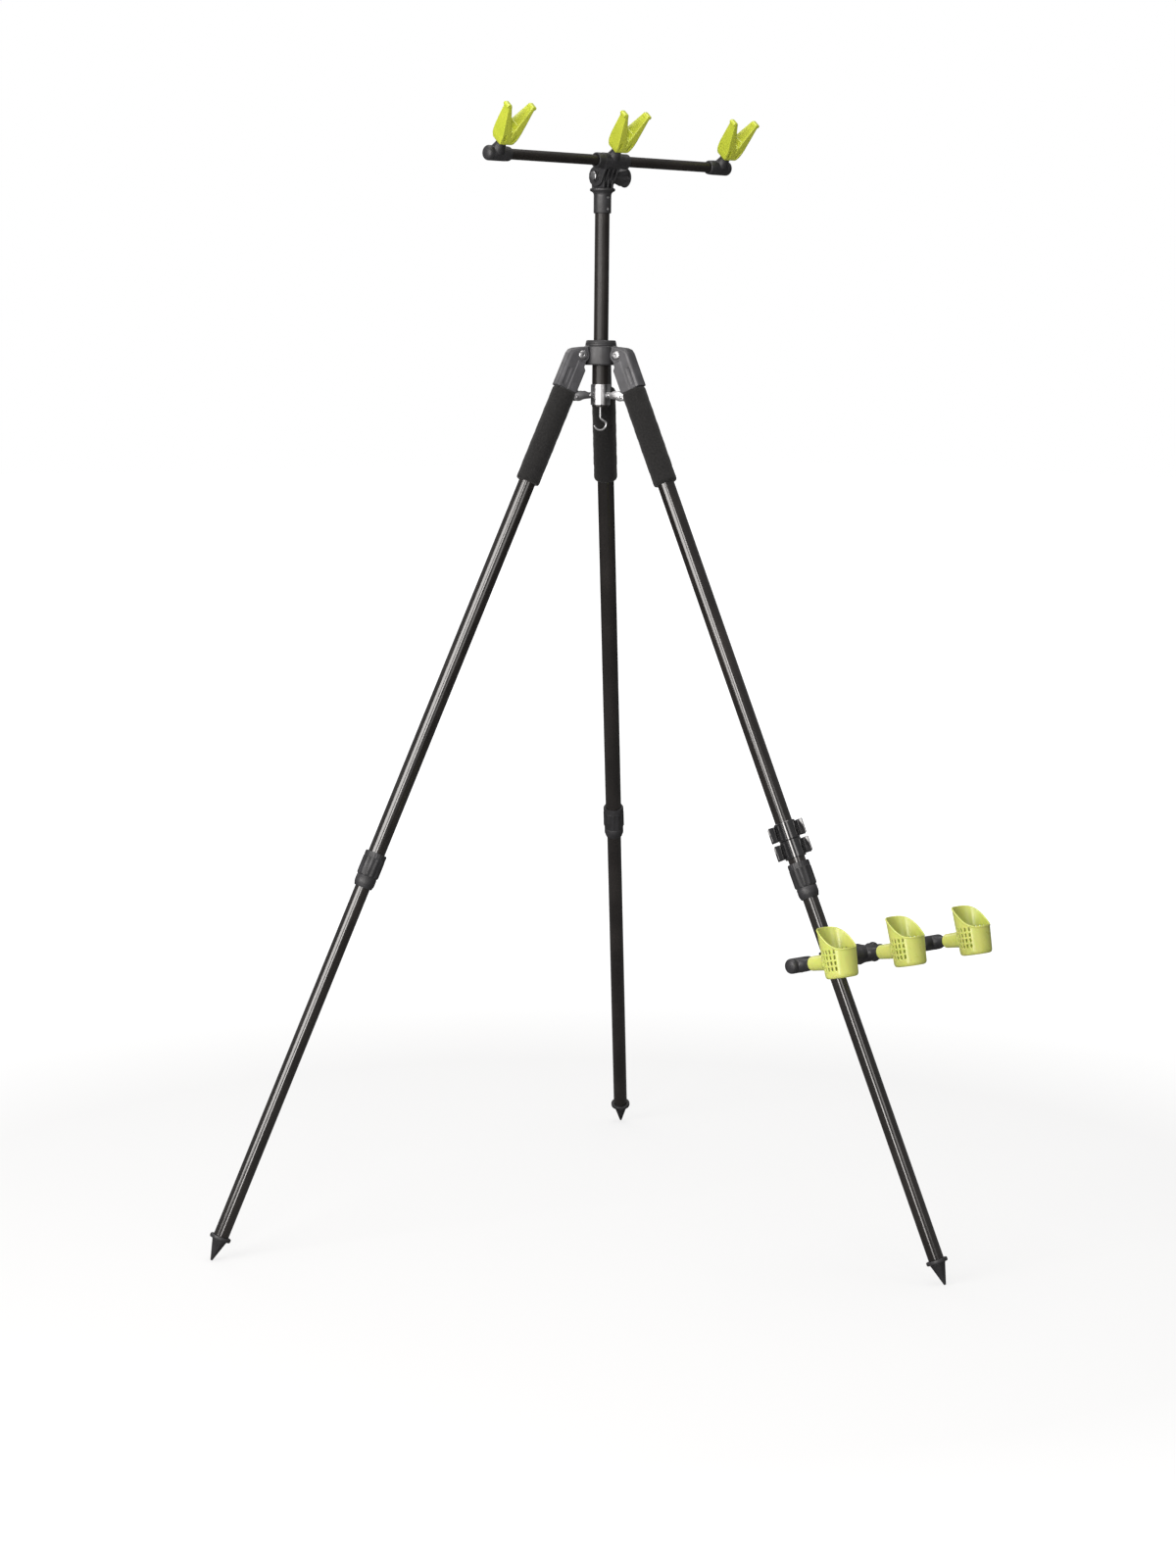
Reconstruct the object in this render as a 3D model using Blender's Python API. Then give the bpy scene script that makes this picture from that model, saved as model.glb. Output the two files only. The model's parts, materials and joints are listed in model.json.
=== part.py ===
"""Surf rod tripod: three folding, telescopic legs, a centre column with a tilting rod bar, and a
lower bar of butt cups clamped to one leg. Metres, +Z up; the origin is on the ground under the
column. +X runs along both rod bars and -Y is the angler's side, where the cups are."""

import math

import bmesh
import bpy
from mathutils import Matrix, Vector

# Fits
GAP = 0.0003            # between pieces that touch
SLIDE = 0.0003          # radial, between pieces that slide or turn
MERGE = 1e-7
ROUND = 20              # sides of a large round piece
SMALL_ROUND = 12        # sides of a small one
SMOOTH_ANGLE = math.radians(32)
FLAT_ANGLE = math.radians(0.3)

# Stance of the legs
LEG_COUNT = 3
LEG_TURN = math.radians(14)         # the left leg's bearing is 150 degrees plus this
LEG_LEAN = math.radians(23.75)
LEG_FOLD = math.radians(21.5)       # how far a leg swings in
PIVOT_RADIUS = 0.038
LEG_OFFSET = 0.002                  # leg axis outside the pivot, square to the leg

# Legs, with distances down the leg from the pivot
UPPER_OD = 0.028
UPPER_WALL = 0.0012
LOWER_OD = 0.025
LOWER_WALL = 0.001
SHOULDER_END = 0.062
SPIGOT_LENGTH = 0.043
GRIP_LENGTH = 0.164
GRIP_OD = 0.040
GRIP_BEVEL = 0.003
UPPER_END = 0.918
LOWER_START = 0.800
LOWER_END = 1.546
COLLAR_PLACE = 0.910
COLLAR_LENGTH = 0.060
COLLAR_OD = 0.037
COLLAR_RING_OD = 0.034
COLLAR_RING_LENGTH = 0.020
COLLAR_FLUTES = 12
FLUTE_DEPTH = 0.0013
COLLAR_TAPER = 0.0025
FOOT_FLANGE_OD = 0.035
FOOT_FLANGE = 0.006
FOOT_PLUG = 0.015
SPIKE_LENGTH = 0.036
SPIKE_OD = 0.026
SPIKE_TIP_RADIUS = 0.0018
SPIKE_SIDES = 8

# Shoulder at the top of each leg
CHEEK_OUT = 0.0125                  # outer faces of the fork
SHOULDER_INNER = -0.014             # inner and outer faces, from the pivot, square to the leg
SHOULDER_OUTER = 0.0225
SHOULDER_TOP = 0.014                # level top edge over the pivots
SHOULDER_BEVEL = 0.0045
SHOULDER_CORNER = 0.008             # rounding of the top outer corner
SHOULDER_FALL = 0.003               # top edge, lower at its outer end
SHOULDER_NECK = 0.0168              # narrow down to here, so that it passes the hub's core
SHOULDER_STEP = 0.0045
EYE_RADIUS = 0.012
PANEL_WIDTH = 0.017
PANEL_RAISE = 0.001
PANEL_START = 0.011
PIN_RADIUS = 0.004
RIVET_RADIUS = 0.00775
RIVET_HEAD = 0.002

# Hub at the pivots' height
HUB_RADIUS = 0.028
HUB_TOP = 0.015
HUB_BOTTOM = -0.016
LUG_HALF = 0.006
LUG_RADIUS = 0.010
NECK_RADIUS = 0.019
NECK_TOP = 0.021
COLLET_RADIUS = 0.0170
COLLET_SLOT = 0.0016
COLLET_BOTTOM = 0.0123
RING_OD = 0.052
RING_TOP_OD = 0.048
RING_TOP = 0.0245
RING_BEVEL = 0.0012
RING_LIP = 0.0030

# Column and its guide
COLUMN_OD = 0.024
COLUMN_WALL = 0.0015
GUIDE_WALL = 0.0017
GUIDE_BOTTOM = -0.084
GUIDE_TOP = 0.0117
PLUG_FLANGE = 0.0027
PLUG_LENGTH = 0.015

# Weight hook under the column
WIRE_RADIUS = 0.002
HOOK_TOP = -0.071
HOOK_BEND = -0.101
HOOK_RADIUS = 0.0103
HOOK_DROP = 0.0107                  # from the bend down to the middle of the hook's ring
HOOK_SWEEP = math.radians(165)
HOOK_TURN = math.radians(-30)

# Spreader between the column and the legs
SLEEVE_WALL = 0.0017
SLEEVE_TOP = -0.047
SLEEVE_BOTTOM = -0.081
SLEEVE_PIN_RADIUS = 0.0205          # inner pins, from the column's axis
SLEEVE_PIN_HEIGHT = -0.065
LINK_LUG_INWARD = -0.0205           # outer pins, from the pivot square to the leg
LINK_LUG_PLACE = 0.065              # and down the leg
LINK_PIN_RADIUS = 0.0019
LINK_LUG_HALF = 0.0048
LINK_LUG_RADIUS = 0.0046
LINK_LUG_NOSE = 0.0025              # height of the leg lug's blunt nose over its pin
LINK_INSIDE = 0.006                 # half the gap between a link's plates
LINK_PLATE = 0.0015
LINK_UP = 0.0085
LINK_DOWN = 0.0070
LINK_EYE = 0.0050
LINK_CORNER = 0.004                 # cut off the upper corner, which swings past the leg tube
SLOT_REACH = 0.0058                 # how far the open pin strays in its slot as the leg folds
SLOT_ANGLE = math.radians(53)

# Tilting knuckle, used at the head and at the leg clamp
FIN_PITCH = 0.0092
FIN = 0.0037
KNUCKLE_RADIUS = 0.017
SEAT_RADIUS = 0.016                 # fins on the fixed side
SEAT_DROP = 0.019                   # from the bolt to the fins' base
BOLT_RADIUS = 0.004
BOLT_HOLE = 0.0043
BOLT_REACH = 0.034                  # shank end, from the middle
HEX_ACROSS = 0.013
HEX_HEIGHT = 0.005
BOSS_RADIUS = 0.010
BOSS_RAISE = 0.0026
BOSS_RECESS = 0.0020
FAR_BOSS_RADIUS = 0.007
FAR_BOSS_RAISE = 0.0026
WASHER_RADIUS = 0.0078
WASHER = 0.0010
KNOB_BASE_RADIUS = 0.0075
KNOB_RADIUS = 0.01685
KNOB_LENGTH = 0.029
KNOB_BORE_DEPTH = 0.0155
KNOB_LOBES = 6
KNOB_SCALLOP = 0.0050

# Head on the column
HEAD_RISE = 0.289                   # tilt bolt over the leg pivots
HEAD_TILT = math.radians(40)        # towards the angler
SOCKET_OD = 0.0288
SOCKET_FLANGE_OD = 0.0416
SOCKET_FLANGE = 0.0049
SOCKET_NECK = 0.0065
SOCKET_LENGTH = 0.0404
SOCKET_CAP = 0.0022
GRUB_RADIUS = 0.0022
GRUB_DROPS = (0.015, 0.034)         # from the flange's top

# Bars with their fittings
BAR_OD = 0.017
BAR_WALL = 0.0012
TEE_REACH = 0.0315                  # tilt bolt to the bar's axis
TEE_LENGTH = 0.067
TEE_RADIUS = 0.0127
TEE_BAND = 0.0135
TEE_BAND_RADIUS = 0.0122
SADDLE_RADIUS = 0.0137
SADDLE_DROP = math.radians(8)       # its edges, below the bar's axis
SADDLE_END = 0.001                  # beyond the outer fins
KNUCKLE_TOP = 0.0301                # tops of the tilting fins, inside the barrel
STUB_RADIUS = 0.0085
STUB_TOP = 0.031                    # from the bar's axis
STUB_ROOT_RADIUS = 0.012
STUB_HOLE_DEPTH = 0.013
STUD_RADIUS = 0.003
STUD_ROUND = 8
STUB_ROUND = 16                     # enough sides to turn in its socket
STUD_LENGTH = 0.010
TOP_STATION = 0.243                 # outer rests, from the middle
LOWER_STATION = 0.153               # outer cups, from the middle
CAP_RADIUS = 0.012
CAP_INNER = 0.027                   # cap ends, from its stub
CAP_OUTER = 0.0215
CAP_DOME = 0.004
BAR_OVERLAP = 0.012                 # bar beyond the stub, inside the cap

# V rests for the rods
REST_BOTTOM = 0.0235                # from the bar's axis
REST_ANKLE = 0.007                  # start of the taper to the foot, over the bottom
REST_ROOT = 0.050
REST_TOP = 0.0945
REST_TIP_OUT = 0.0275
REST_TIP_IN = 0.0210
REST_FOOT_HALF = 0.0120
REST_BELLY_HALF = 0.0170
REST_BELLY = 0.0400
REST_DEPTH_HALF = 0.0142
REST_TOP_DEPTH_HALF = 0.0062
REST_FOOT_DEPTH_HALF = 0.0108
REST_ROOT_RADIUS = 0.004
REST_LIP_RADIUS = 0.0033

# Butt cups
CUP_BOSS_RADIUS = 0.011
CUP_BOSS_END_RADIUS = 0.013
CUP_BOSS_LENGTH = 0.035
CUP_TOP_RADIUS = 0.0290
CUP_BOTTOM_RADIUS = 0.0255
CUP_WALL = 0.002
CUP_HEIGHT = 0.079                  # at the boss
CUP_FRONT_HEIGHT = 0.044
CUP_BELOW_BOSS = 0.026              # floor's underside under the boss axis
CUP_SLOT = (0.0027, 0.0065)
CUP_SLOT_ROWS = 4
CUP_SLOT_COLUMNS = 5
CUP_SLOT_FIRST = 0.012
CUP_SLOT_RISE = 0.0087
CUP_SLOT_LEAD = 0.6                 # columns stand this much nearer the boss
CUP_SLOT_TURN = math.radians(15)

# Clamp on the back leg, with the lower bar
CLAMP_PLACE = 1.050
CLAMP_LENGTH = 0.045
CLAMP_RADIUS = 0.0165
CLAMP_REACH = 0.047                 # leg axis to the lower tilt bolt
CLAMP_NECK = (0.026, 0.028)
LOWER_TILT = math.radians(77)

# Transport clips on the back leg
CLIP_LENGTH = 0.030
CLIP_CLEAR = 0.0083                 # above the lock collar
CLIP_JAW_LENGTH = 0.024
CLIP_RING = 0.0032
CLIP_ARM = 0.0025
CLIP_JAW_RADIUS = 0.0148
CLIP_JAW_CENTRE = 0.0325
CLIP_JAW_SWEEP = math.radians(76)
CLIP_TURN = math.radians(35)

# Colours, roughness and metallic value
BLACK_PAINT = ("black_paint", (0.018, 0.018, 0.019), 0.28, 0.4)
DARK_PLASTIC = ("dark_plastic", (0.030, 0.031, 0.033), 0.55, 0.0)
HUB_PLASTIC = ("hub_plastic", (0.050, 0.051, 0.055), 0.5, 0.0)
FOAM = ("foam", (0.016, 0.016, 0.016), 0.95, 0.0)
LIME = ("lime_plastic", (0.46, 0.62, 0.09), 0.38, 0.0)
BRIGHT_METAL = ("bright_metal", (0.75, 0.75, 0.76), 0.22, 1.0)
GLOSS_BLACK = ("gloss_black", (0.012, 0.012, 0.013), 0.15, 0.0)

# Sizes that follow from the ones above
LEG_BEARINGS = {
    "left": math.radians(150) + LEG_TURN,
    "right": math.radians(30) + LEG_TURN,
    "back": math.radians(-90) + LEG_TURN,
}
UPPER_RADIUS = UPPER_OD / 2
LOWER_RADIUS = LOWER_OD / 2
COLUMN_RADIUS = COLUMN_OD / 2
BAR_RADIUS = BAR_OD / 2
GUIDE_INNER = COLUMN_RADIUS + SLIDE
GUIDE_RADIUS = GUIDE_INNER + GUIDE_WALL
SLEEVE_INNER = GUIDE_RADIUS + SLIDE
SLEEVE_RADIUS = SLEEVE_INNER + SLEEVE_WALL
FOOT_END = LOWER_END + FOOT_FLANGE + SPIKE_LENGTH
PIVOT_HEIGHT = FOOT_END * math.cos(LEG_LEAN) - (LEG_OFFSET - SPIKE_TIP_RADIUS) * math.sin(LEG_LEAN)
COLUMN_TOP = HEAD_RISE - SEAT_DROP - SOCKET_CAP - GAP
KNUCKLE_HALF = 1.5 * FIN_PITCH + FIN / 2
ALONG_X = Matrix.Rotation(math.radians(90), 4, "Y")
FACING_Y = Matrix.Rotation(math.radians(90), 4, "X")


def moved(x=0.0, y=0.0, z=0.0):
    return Matrix.Translation((x, y, z))


def clear_scene():
    for old in list(bpy.data.objects):
        bpy.data.objects.remove(old)


# Solids

def turned(profile, place=None, steps=ROUND):
    """A profile of (radius, height) points turned round Z. It is closed into a ring if it starts off the axis."""
    shape = bmesh.new()
    points = [shape.verts.new((radius, 0, height)) for radius, height in profile]
    edges = [shape.edges.new(pair) for pair in zip(points, points[1:])]
    if profile[0][0] > 0:
        edges.append(shape.edges.new((points[-1], points[0])))
    bmesh.ops.spin(
        shape, geom=points + edges, cent=(0, 0, 0), axis=(0, 0, 1),
        angle=2 * math.pi, steps=steps, use_merge=True,
    )
    bmesh.ops.remove_doubles(shape, verts=shape.verts, dist=MERGE)
    return finished(shape, place)


def prism(outline, start, end, place=None):
    """An outline of (x, y) points drawn out along Z."""
    shape = bmesh.new()
    face = shape.faces.new([shape.verts.new((x, y, start)) for x, y in outline])
    drawn = bmesh.ops.extrude_face_region(shape, geom=[face])["geom"]
    far = [item for item in drawn if isinstance(item, bmesh.types.BMVert)]
    bmesh.ops.translate(shape, verts=far, vec=(0, 0, end - start))
    return finished(shape, place)


def lofted(rings, place=None):
    """A closed shape through rings of (x, y, z) points, all with the same number of points."""
    shape = bmesh.new()
    loops = [[shape.verts.new(point) for point in ring] for ring in rings]
    for lower, upper in zip(loops, loops[1:]):
        for k in range(len(lower)):
            shape.faces.new((lower[k - 1], lower[k], upper[k], upper[k - 1]))
    shape.faces.new(loops[0])
    shape.faces.new(loops[-1])
    return finished(shape, place)


def fluted(radius, depth, flutes, height, spread=0.27, ridge=3):
    """A ring with flutes between its ridges; spread is half a ridge's share of the pitch."""
    pitch = 2 * math.pi / flutes
    points = []
    for k in range(flutes):
        for step in range(ridge):
            turn = pitch * (k + spread * (2 * step / (ridge - 1) - 1))
            points.append((radius * math.cos(turn), radius * math.sin(turn), height))
        turn = pitch * (k + 0.5)
        low = radius - depth
        points.append((low * math.cos(turn), low * math.sin(turn), height))
    return points


def block(low, high, place=None):
    """A box between two corners."""
    shape = bmesh.new()
    bmesh.ops.create_cube(shape, size=1)
    size = [b - a for a, b in zip(low, high)]
    centre = [(a + b) / 2 for a, b in zip(low, high)]
    bmesh.ops.scale(shape, verts=shape.verts, vec=size)
    bmesh.ops.translate(shape, verts=shape.verts, vec=centre)
    return finished(shape, place)


def rod(radius, start, end, place=None, steps=SMALL_ROUND):
    return turned([(0, end), (radius, end), (radius, start), (0, start)], place, steps)


def pipe(outer, inner, start, end, place=None, steps=ROUND):
    return turned([(outer, end), (outer, start), (inner, start), (inner, end)], place, steps)


def finished(shape, place):
    bmesh.ops.recalc_face_normals(shape, faces=shape.faces)
    if place is not None:
        bmesh.ops.transform(shape, matrix=place, verts=shape.verts)
    return shape


def together(shapes):
    """Separate closed shapes held in one mesh, for use as a cutter."""
    whole = bmesh.new()
    for shape in shapes:
        mesh = bpy.data.meshes.new("copy")
        shape.to_mesh(mesh)
        shape.free()
        whole.from_mesh(mesh)
        bpy.data.meshes.remove(mesh)
    return whole


def softened(shape, chosen, width, segments=2):
    """The shape with its chosen edges rounded; chosen is a test on an edge's two ends."""
    edges = [edge for edge in shape.edges if chosen(edge.verts[0].co, edge.verts[1].co)]
    bmesh.ops.bevel(
        shape, geom=edges, offset=width, segments=segments, profile=0.5, affect="EDGES",
    )
    return shape


def helper(shape):
    """A hidden object that holds a shape while it is joined or cut."""
    if isinstance(shape, bpy.types.Mesh):
        mesh = shape
    else:
        mesh = bpy.data.meshes.new("helper")
        shape.to_mesh(mesh)
        shape.free()
    thing = bpy.data.objects.new("helper", mesh)
    thing.hide_render = True
    thing.display_type = "WIRE"
    bpy.context.collection.objects.link(thing)
    return thing


def combined(base, joined=(), cut=()):
    """The base with the joined shapes added and then the cut shapes taken away, as one mesh."""
    body = helper(base)
    tools = []
    for operation, shapes in (("UNION", joined), ("DIFFERENCE", cut)):
        for shape in shapes:
            tools.append(helper(shape))
            change = body.modifiers.new(operation, "BOOLEAN")
            change.operation = operation
            change.solver = "EXACT"
            change.object = tools[-1]
    graph = bpy.context.evaluated_depsgraph_get()
    mesh = bpy.data.meshes.new_from_object(body.evaluated_get(graph))
    for tool in tools + [body]:
        bpy.data.objects.remove(tool)
    return merged_flats(mesh)


def merged_flats(mesh):
    """The mesh with any facet that a Boolean dropped filled, and its split flat faces put back together."""
    shape = bmesh.new()
    shape.from_mesh(mesh)
    bmesh.ops.remove_doubles(shape, verts=shape.verts, dist=MERGE)
    bmesh.ops.holes_fill(shape, edges=[edge for edge in shape.edges if edge.is_boundary], sides=4)
    bmesh.ops.dissolve_limit(
        shape, angle_limit=FLAT_ANGLE, verts=shape.verts, edges=shape.edges,
        use_dissolve_boundaries=False, delimit={"NORMAL"},
    )
    shape.to_mesh(mesh)
    shape.free()
    return mesh


def circle(radius, centre=(0.0, 0.0), start=0.0, sweep=2 * math.pi, steps=SMALL_ROUND):
    """Points round an arc; a full turn leaves out its last point."""
    full = math.isclose(abs(sweep), 2 * math.pi)
    count = steps if full else steps + 1
    turns = [start + sweep * step / steps for step in range(count)]
    return [(centre[0] + radius * math.cos(turn), centre[1] + radius * math.sin(turn)) for turn in turns]


def outline_hull(discs, steps=SMALL_ROUND):
    """The outline of a strap stretched round discs given as (x, y, radius)."""
    points = [point for x, y, radius in discs for point in circle(radius, (x, y), steps=steps)]
    shape = bmesh.new()
    verts = [shape.verts.new((x, y, 0)) for x, y in points]
    hull = bmesh.ops.convex_hull(shape, input=verts)
    kept = {v for item in hull["geom"] if isinstance(item, bmesh.types.BMFace) for v in item.verts}
    inside = set(hull["geom_interior"])
    rim = [v.co.xy for v in kept if v not in inside]
    centre = sum(rim, Vector((0, 0))) / len(rim)
    rim.sort(key=lambda point: math.atan2(point.y - centre.y, point.x - centre.x))
    shape.free()
    return [tuple(point) for point in rim]


# Scene objects

def material(look):
    name, colour, roughness, metallic = look
    made = bpy.data.materials.get(name)
    if made is None:
        made = bpy.data.materials.new(name)
        made.use_nodes = True
        surface = made.node_tree.nodes["Principled BSDF"]
        surface.inputs["Base Color"].default_value = (*colour, 1)
        surface.inputs["Roughness"].default_value = roughness
        surface.inputs["Metallic"].default_value = metallic
    return made


def as_mesh(shape, name):
    if isinstance(shape, bpy.types.Mesh):
        shape.name = name
        return shape
    mesh = bpy.data.meshes.new(name)
    shape.to_mesh(mesh)
    shape.free()
    return mesh


def piece(name, mesh, look, parent, location=(0, 0, 0), turn=(0, 0, 0)):
    """One named sub-part. Its mesh may be shared with other copies."""
    if not mesh.materials:
        mesh.materials.append(material(look))
        mesh.shade_smooth()
        mesh.set_sharp_from_angle(angle=SMOOTH_ANGLE)
    thing = bpy.data.objects.new(name, mesh)
    bpy.context.collection.objects.link(thing)
    thing.parent = parent
    thing.location = location
    thing.rotation_euler = turn
    return thing


def frame(name, location, turn=(0, 0, 0), parent=None):
    """An empty on a joint's axis, which carries pieces."""
    empty = bpy.data.objects.new(name, None)
    bpy.context.collection.objects.link(empty)
    empty.parent = parent
    empty.location = location
    empty.rotation_euler = turn
    return empty


# Legs, in a frame at the pivot: -Z runs down the leg, +X outward, +Y along the pivot

def in_leg(across, up):
    """A point of the upright plane through a leg, from the pivot, in the leg's own X and Z."""
    return (
        across * math.cos(LEG_LEAN) + up * math.sin(LEG_LEAN),
        up * math.cos(LEG_LEAN) - across * math.sin(LEG_LEAN),
    )


def across_leg(outline, half, start=None):
    """A prism across the leg from an outline of its X and Z."""
    low = -half if start is None else start
    return prism([(x, z) for x, z in outline], -half, -low, FACING_Y)


def shoulder_outline():
    core_clear = PIVOT_RADIUS - HUB_RADIUS - GAP
    eye_half = math.acos(core_clear / EYE_RADIUS)
    upper_turn = math.pi - eye_half - LEG_LEAN
    lower = (-core_clear, -math.sqrt(EYE_RADIUS**2 - core_clear**2))
    lower_turn = math.atan2(lower[1], lower[0]) % (2 * math.pi)
    top_inner = Vector(in_leg(-core_clear, SHOULDER_TOP))
    top_along = (SHOULDER_OUTER - SHOULDER_TOP * math.sin(LEG_LEAN)) / math.cos(LEG_LEAN)
    corner = Vector((SHOULDER_OUTER, in_leg(top_along, SHOULDER_TOP)[1] - SHOULDER_FALL))
    below = corner - Vector((0, SHOULDER_CORNER))
    inward = corner + (top_inner - corner).normalized() * SHOULDER_CORNER
    return [
        *circle(EYE_RADIUS, start=upper_turn, sweep=lower_turn - upper_turn, steps=6),
        (-core_clear, -SHOULDER_NECK),
        (SHOULDER_INNER, -SHOULDER_NECK - SHOULDER_STEP),
        (SHOULDER_INNER, -SHOULDER_END),
        (SHOULDER_OUTER, -SHOULDER_END),
        below,
        (below + 2 * corner + inward) / 4,
        inward,
        top_inner,
    ]


def lug_clearance():
    """What the hub's lug sweeps as the leg folds, seen along the pivot."""
    radius = LUG_RADIUS + 2 * GAP
    reach = SHOULDER_END
    start = math.pi / 2 - LEG_LEAN
    lifted = in_leg(-reach, radius)
    last = LEG_LEAN - LEG_FOLD
    return [
        *circle(radius, start=start, sweep=-start - math.pi / 2, steps=8),
        (-reach, -radius - reach * math.sin(last) * 0.2),
        (-reach, lifted[1]),
        lifted,
    ]


def link_slot():
    """Outline of the slot that the link's outer pin strays in."""
    start = (LINK_LUG_INWARD, -LINK_LUG_PLACE)
    end = (
        start[0] + SLOT_REACH * math.cos(SLOT_ANGLE),
        start[1] - SLOT_REACH * math.sin(SLOT_ANGLE),
    )
    return start, end


def make_shoulder():
    body = across_leg(shoulder_outline(), CHEEK_OUT)
    rounded = softened(
        body,
        lambda a, b: abs(a.y - b.y) < MERGE and min(a.x, b.x) > SHOULDER_OUTER / 4,
        SHOULDER_BEVEL, 2,
    )
    neck = HUB_RADIUS + GAP - PIVOT_RADIUS
    panels = across_leg(
        [
            (neck, -PANEL_START), (neck, -SHOULDER_NECK),
            (SHOULDER_INNER, -SHOULDER_NECK - SHOULDER_STEP), (SHOULDER_INNER, -SHOULDER_END),
            (SHOULDER_INNER + PANEL_WIDTH, -SHOULDER_END), (SHOULDER_INNER + PANEL_WIDTH, -PANEL_START),
        ],
        CHEEK_OUT + PANEL_RAISE,
    )
    spigot = rod(
        UPPER_RADIUS - UPPER_WALL - GAP, -SHOULDER_END - SPIGOT_LENGTH, -SHOULDER_END + 0.005,
        moved(x=LEG_OFFSET), ROUND,
    )
    slot_start, slot_end = link_slot()
    lug_wall = LINK_LUG_RADIUS - LINK_PIN_RADIUS
    inner_face = LEG_OFFSET - UPPER_RADIUS - GAP
    lug = across_leg(
        [
            (SHOULDER_INNER + 0.002, -SHOULDER_END + 0.016),
            (slot_start[0] - LINK_LUG_RADIUS, slot_start[1] + LINK_LUG_NOSE),
            *circle(LINK_LUG_RADIUS, slot_start, math.pi, math.pi / 2, 5),
            (slot_end[0], slot_end[1] - LINK_LUG_RADIUS),
            (inner_face, slot_end[1] - lug_wall),
            (inner_face, -SHOULDER_END + 0.002),
            (SHOULDER_INNER + 0.002, -SHOULDER_END + 0.002),
        ],
        LINK_LUG_HALF,
    )
    pin_room = LINK_PIN_RADIUS + SLIDE + GAP
    slot = across_leg(
        outline_hull([(*slot_start, pin_room), (*slot_end, pin_room)], 12), LINK_LUG_HALF + GAP,
    )
    grooves = [
        block(
            (SHOULDER_INNER - PANEL_RAISE, side * LINK_INSIDE - LINK_PLATE, -SHOULDER_END - PANEL_RAISE),
            (LEG_OFFSET - UPPER_RADIUS + 0.0025, side * LINK_INSIDE + LINK_PLATE, -EYE_RADIUS - 0.012),
            moved(y=side * LINK_PLATE / 2),
        )
        for side in (-1, 1)
    ]
    return combined(
        rounded,
        joined=[panels, spigot, lug],
        cut=[
            across_leg(lug_clearance(), LUG_HALF + GAP),
            rod(PIN_RADIUS + SLIDE, -EYE_RADIUS * 2, EYE_RADIUS * 2, FACING_Y),
            slot,
            *grooves,
        ],
    )


def make_pivot_pin():
    seat = CHEEK_OUT + GAP
    top = seat + RIVET_HEAD
    crown = RIVET_RADIUS * 0.8
    return as_mesh(
        turned(
            [
                (0, top), (crown, top - RIVET_HEAD * 0.2), (RIVET_RADIUS, top - RIVET_HEAD * 0.7),
                (RIVET_RADIUS, seat), (PIN_RADIUS, seat),
                (PIN_RADIUS, -seat), (RIVET_RADIUS, -seat),
                (RIVET_RADIUS, -top + RIVET_HEAD * 0.7), (crown, -top + RIVET_HEAD * 0.2), (0, -top),
            ],
            FACING_Y, SMALL_ROUND,
        ),
        "pivot_pin",
    )


def leg_pipe(outer, inner, start, end, name):
    return as_mesh(pipe(outer, inner, -end, -start, moved(x=LEG_OFFSET)), name)


def make_grip():
    top = -SHOULDER_END - GAP
    bottom = top - GRIP_LENGTH
    outer = GRIP_OD / 2
    inner = UPPER_RADIUS + GAP
    body = turned(
        [
            (inner, top), (outer - GRIP_BEVEL, top), (outer, top - GRIP_BEVEL),
            (outer, bottom + GRIP_BEVEL), (outer - GRIP_BEVEL, bottom), (inner, bottom),
        ],
        moved(x=LEG_OFFSET),
    )
    depth = LINK_LUG_PLACE + SLOT_REACH + LINK_UP + 0.0035
    notch = block(
        (-GRIP_OD, -LINK_INSIDE - LINK_PLATE - 0.0015, -depth),
        (LEG_OFFSET - UPPER_RADIUS * 0.7, LINK_INSIDE + LINK_PLATE + 0.0015, top + GRIP_BEVEL),
    )
    return combined(body, cut=[notch])


def make_collar():
    top = COLLAR_LENGTH / 2
    ring_top = -top + COLLAR_RING_LENGTH
    outer = COLLAR_OD / 2
    ring = COLLAR_RING_OD / 2
    step = COLLAR_PLACE - UPPER_END
    sections = [
        (ring - COLLAR_TAPER, 0, -top), (ring, 0, -top + COLLAR_TAPER * 3), (ring, 0, ring_top),
        (outer, FLUTE_DEPTH, ring_top), (outer, FLUTE_DEPTH, top - 0.002),
        (outer - 0.0015, FLUTE_DEPTH, top),
    ]
    body = lofted([
        fluted(radius, depth, COLLAR_FLUTES, height, ridge=2) for radius, depth, height in sections
    ])
    return combined(
        body,
        cut=[
            rod(LOWER_RADIUS + SLIDE, -top - GAP, step, steps=ROUND),
            rod(UPPER_RADIUS + SLIDE, step - GAP, top + GAP, steps=ROUND),
        ],
    )


def make_foot():
    """Flange, plug and faceted spike. One edge of the spike faces inward, so that it meets the ground."""
    top = -LOWER_END - GAP
    flange = top - FOOT_FLANGE + GAP
    outer = FOOT_FLANGE_OD / 2
    plug = LOWER_RADIUS - LOWER_WALL - GAP
    body = turned([
        (0, top + FOOT_PLUG), (plug, top + FOOT_PLUG), (plug, top), (outer - 0.0015, top),
        (outer, top - 0.0018), (outer, flange + 0.0018), (outer - 0.0015, flange), (0, flange),
    ])
    spike = turned(
        [(0, flange + 0.002), (SPIKE_OD / 2, flange + 0.002), (SPIKE_OD / 2, flange - 0.002),
         (SPIKE_TIP_RADIUS, -FOOT_END), (0, -FOOT_END)],
        steps=SPIKE_SIDES,
    )
    mesh = combined(body, joined=[spike])
    mesh.transform(moved(x=LEG_OFFSET))
    return mesh


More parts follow.
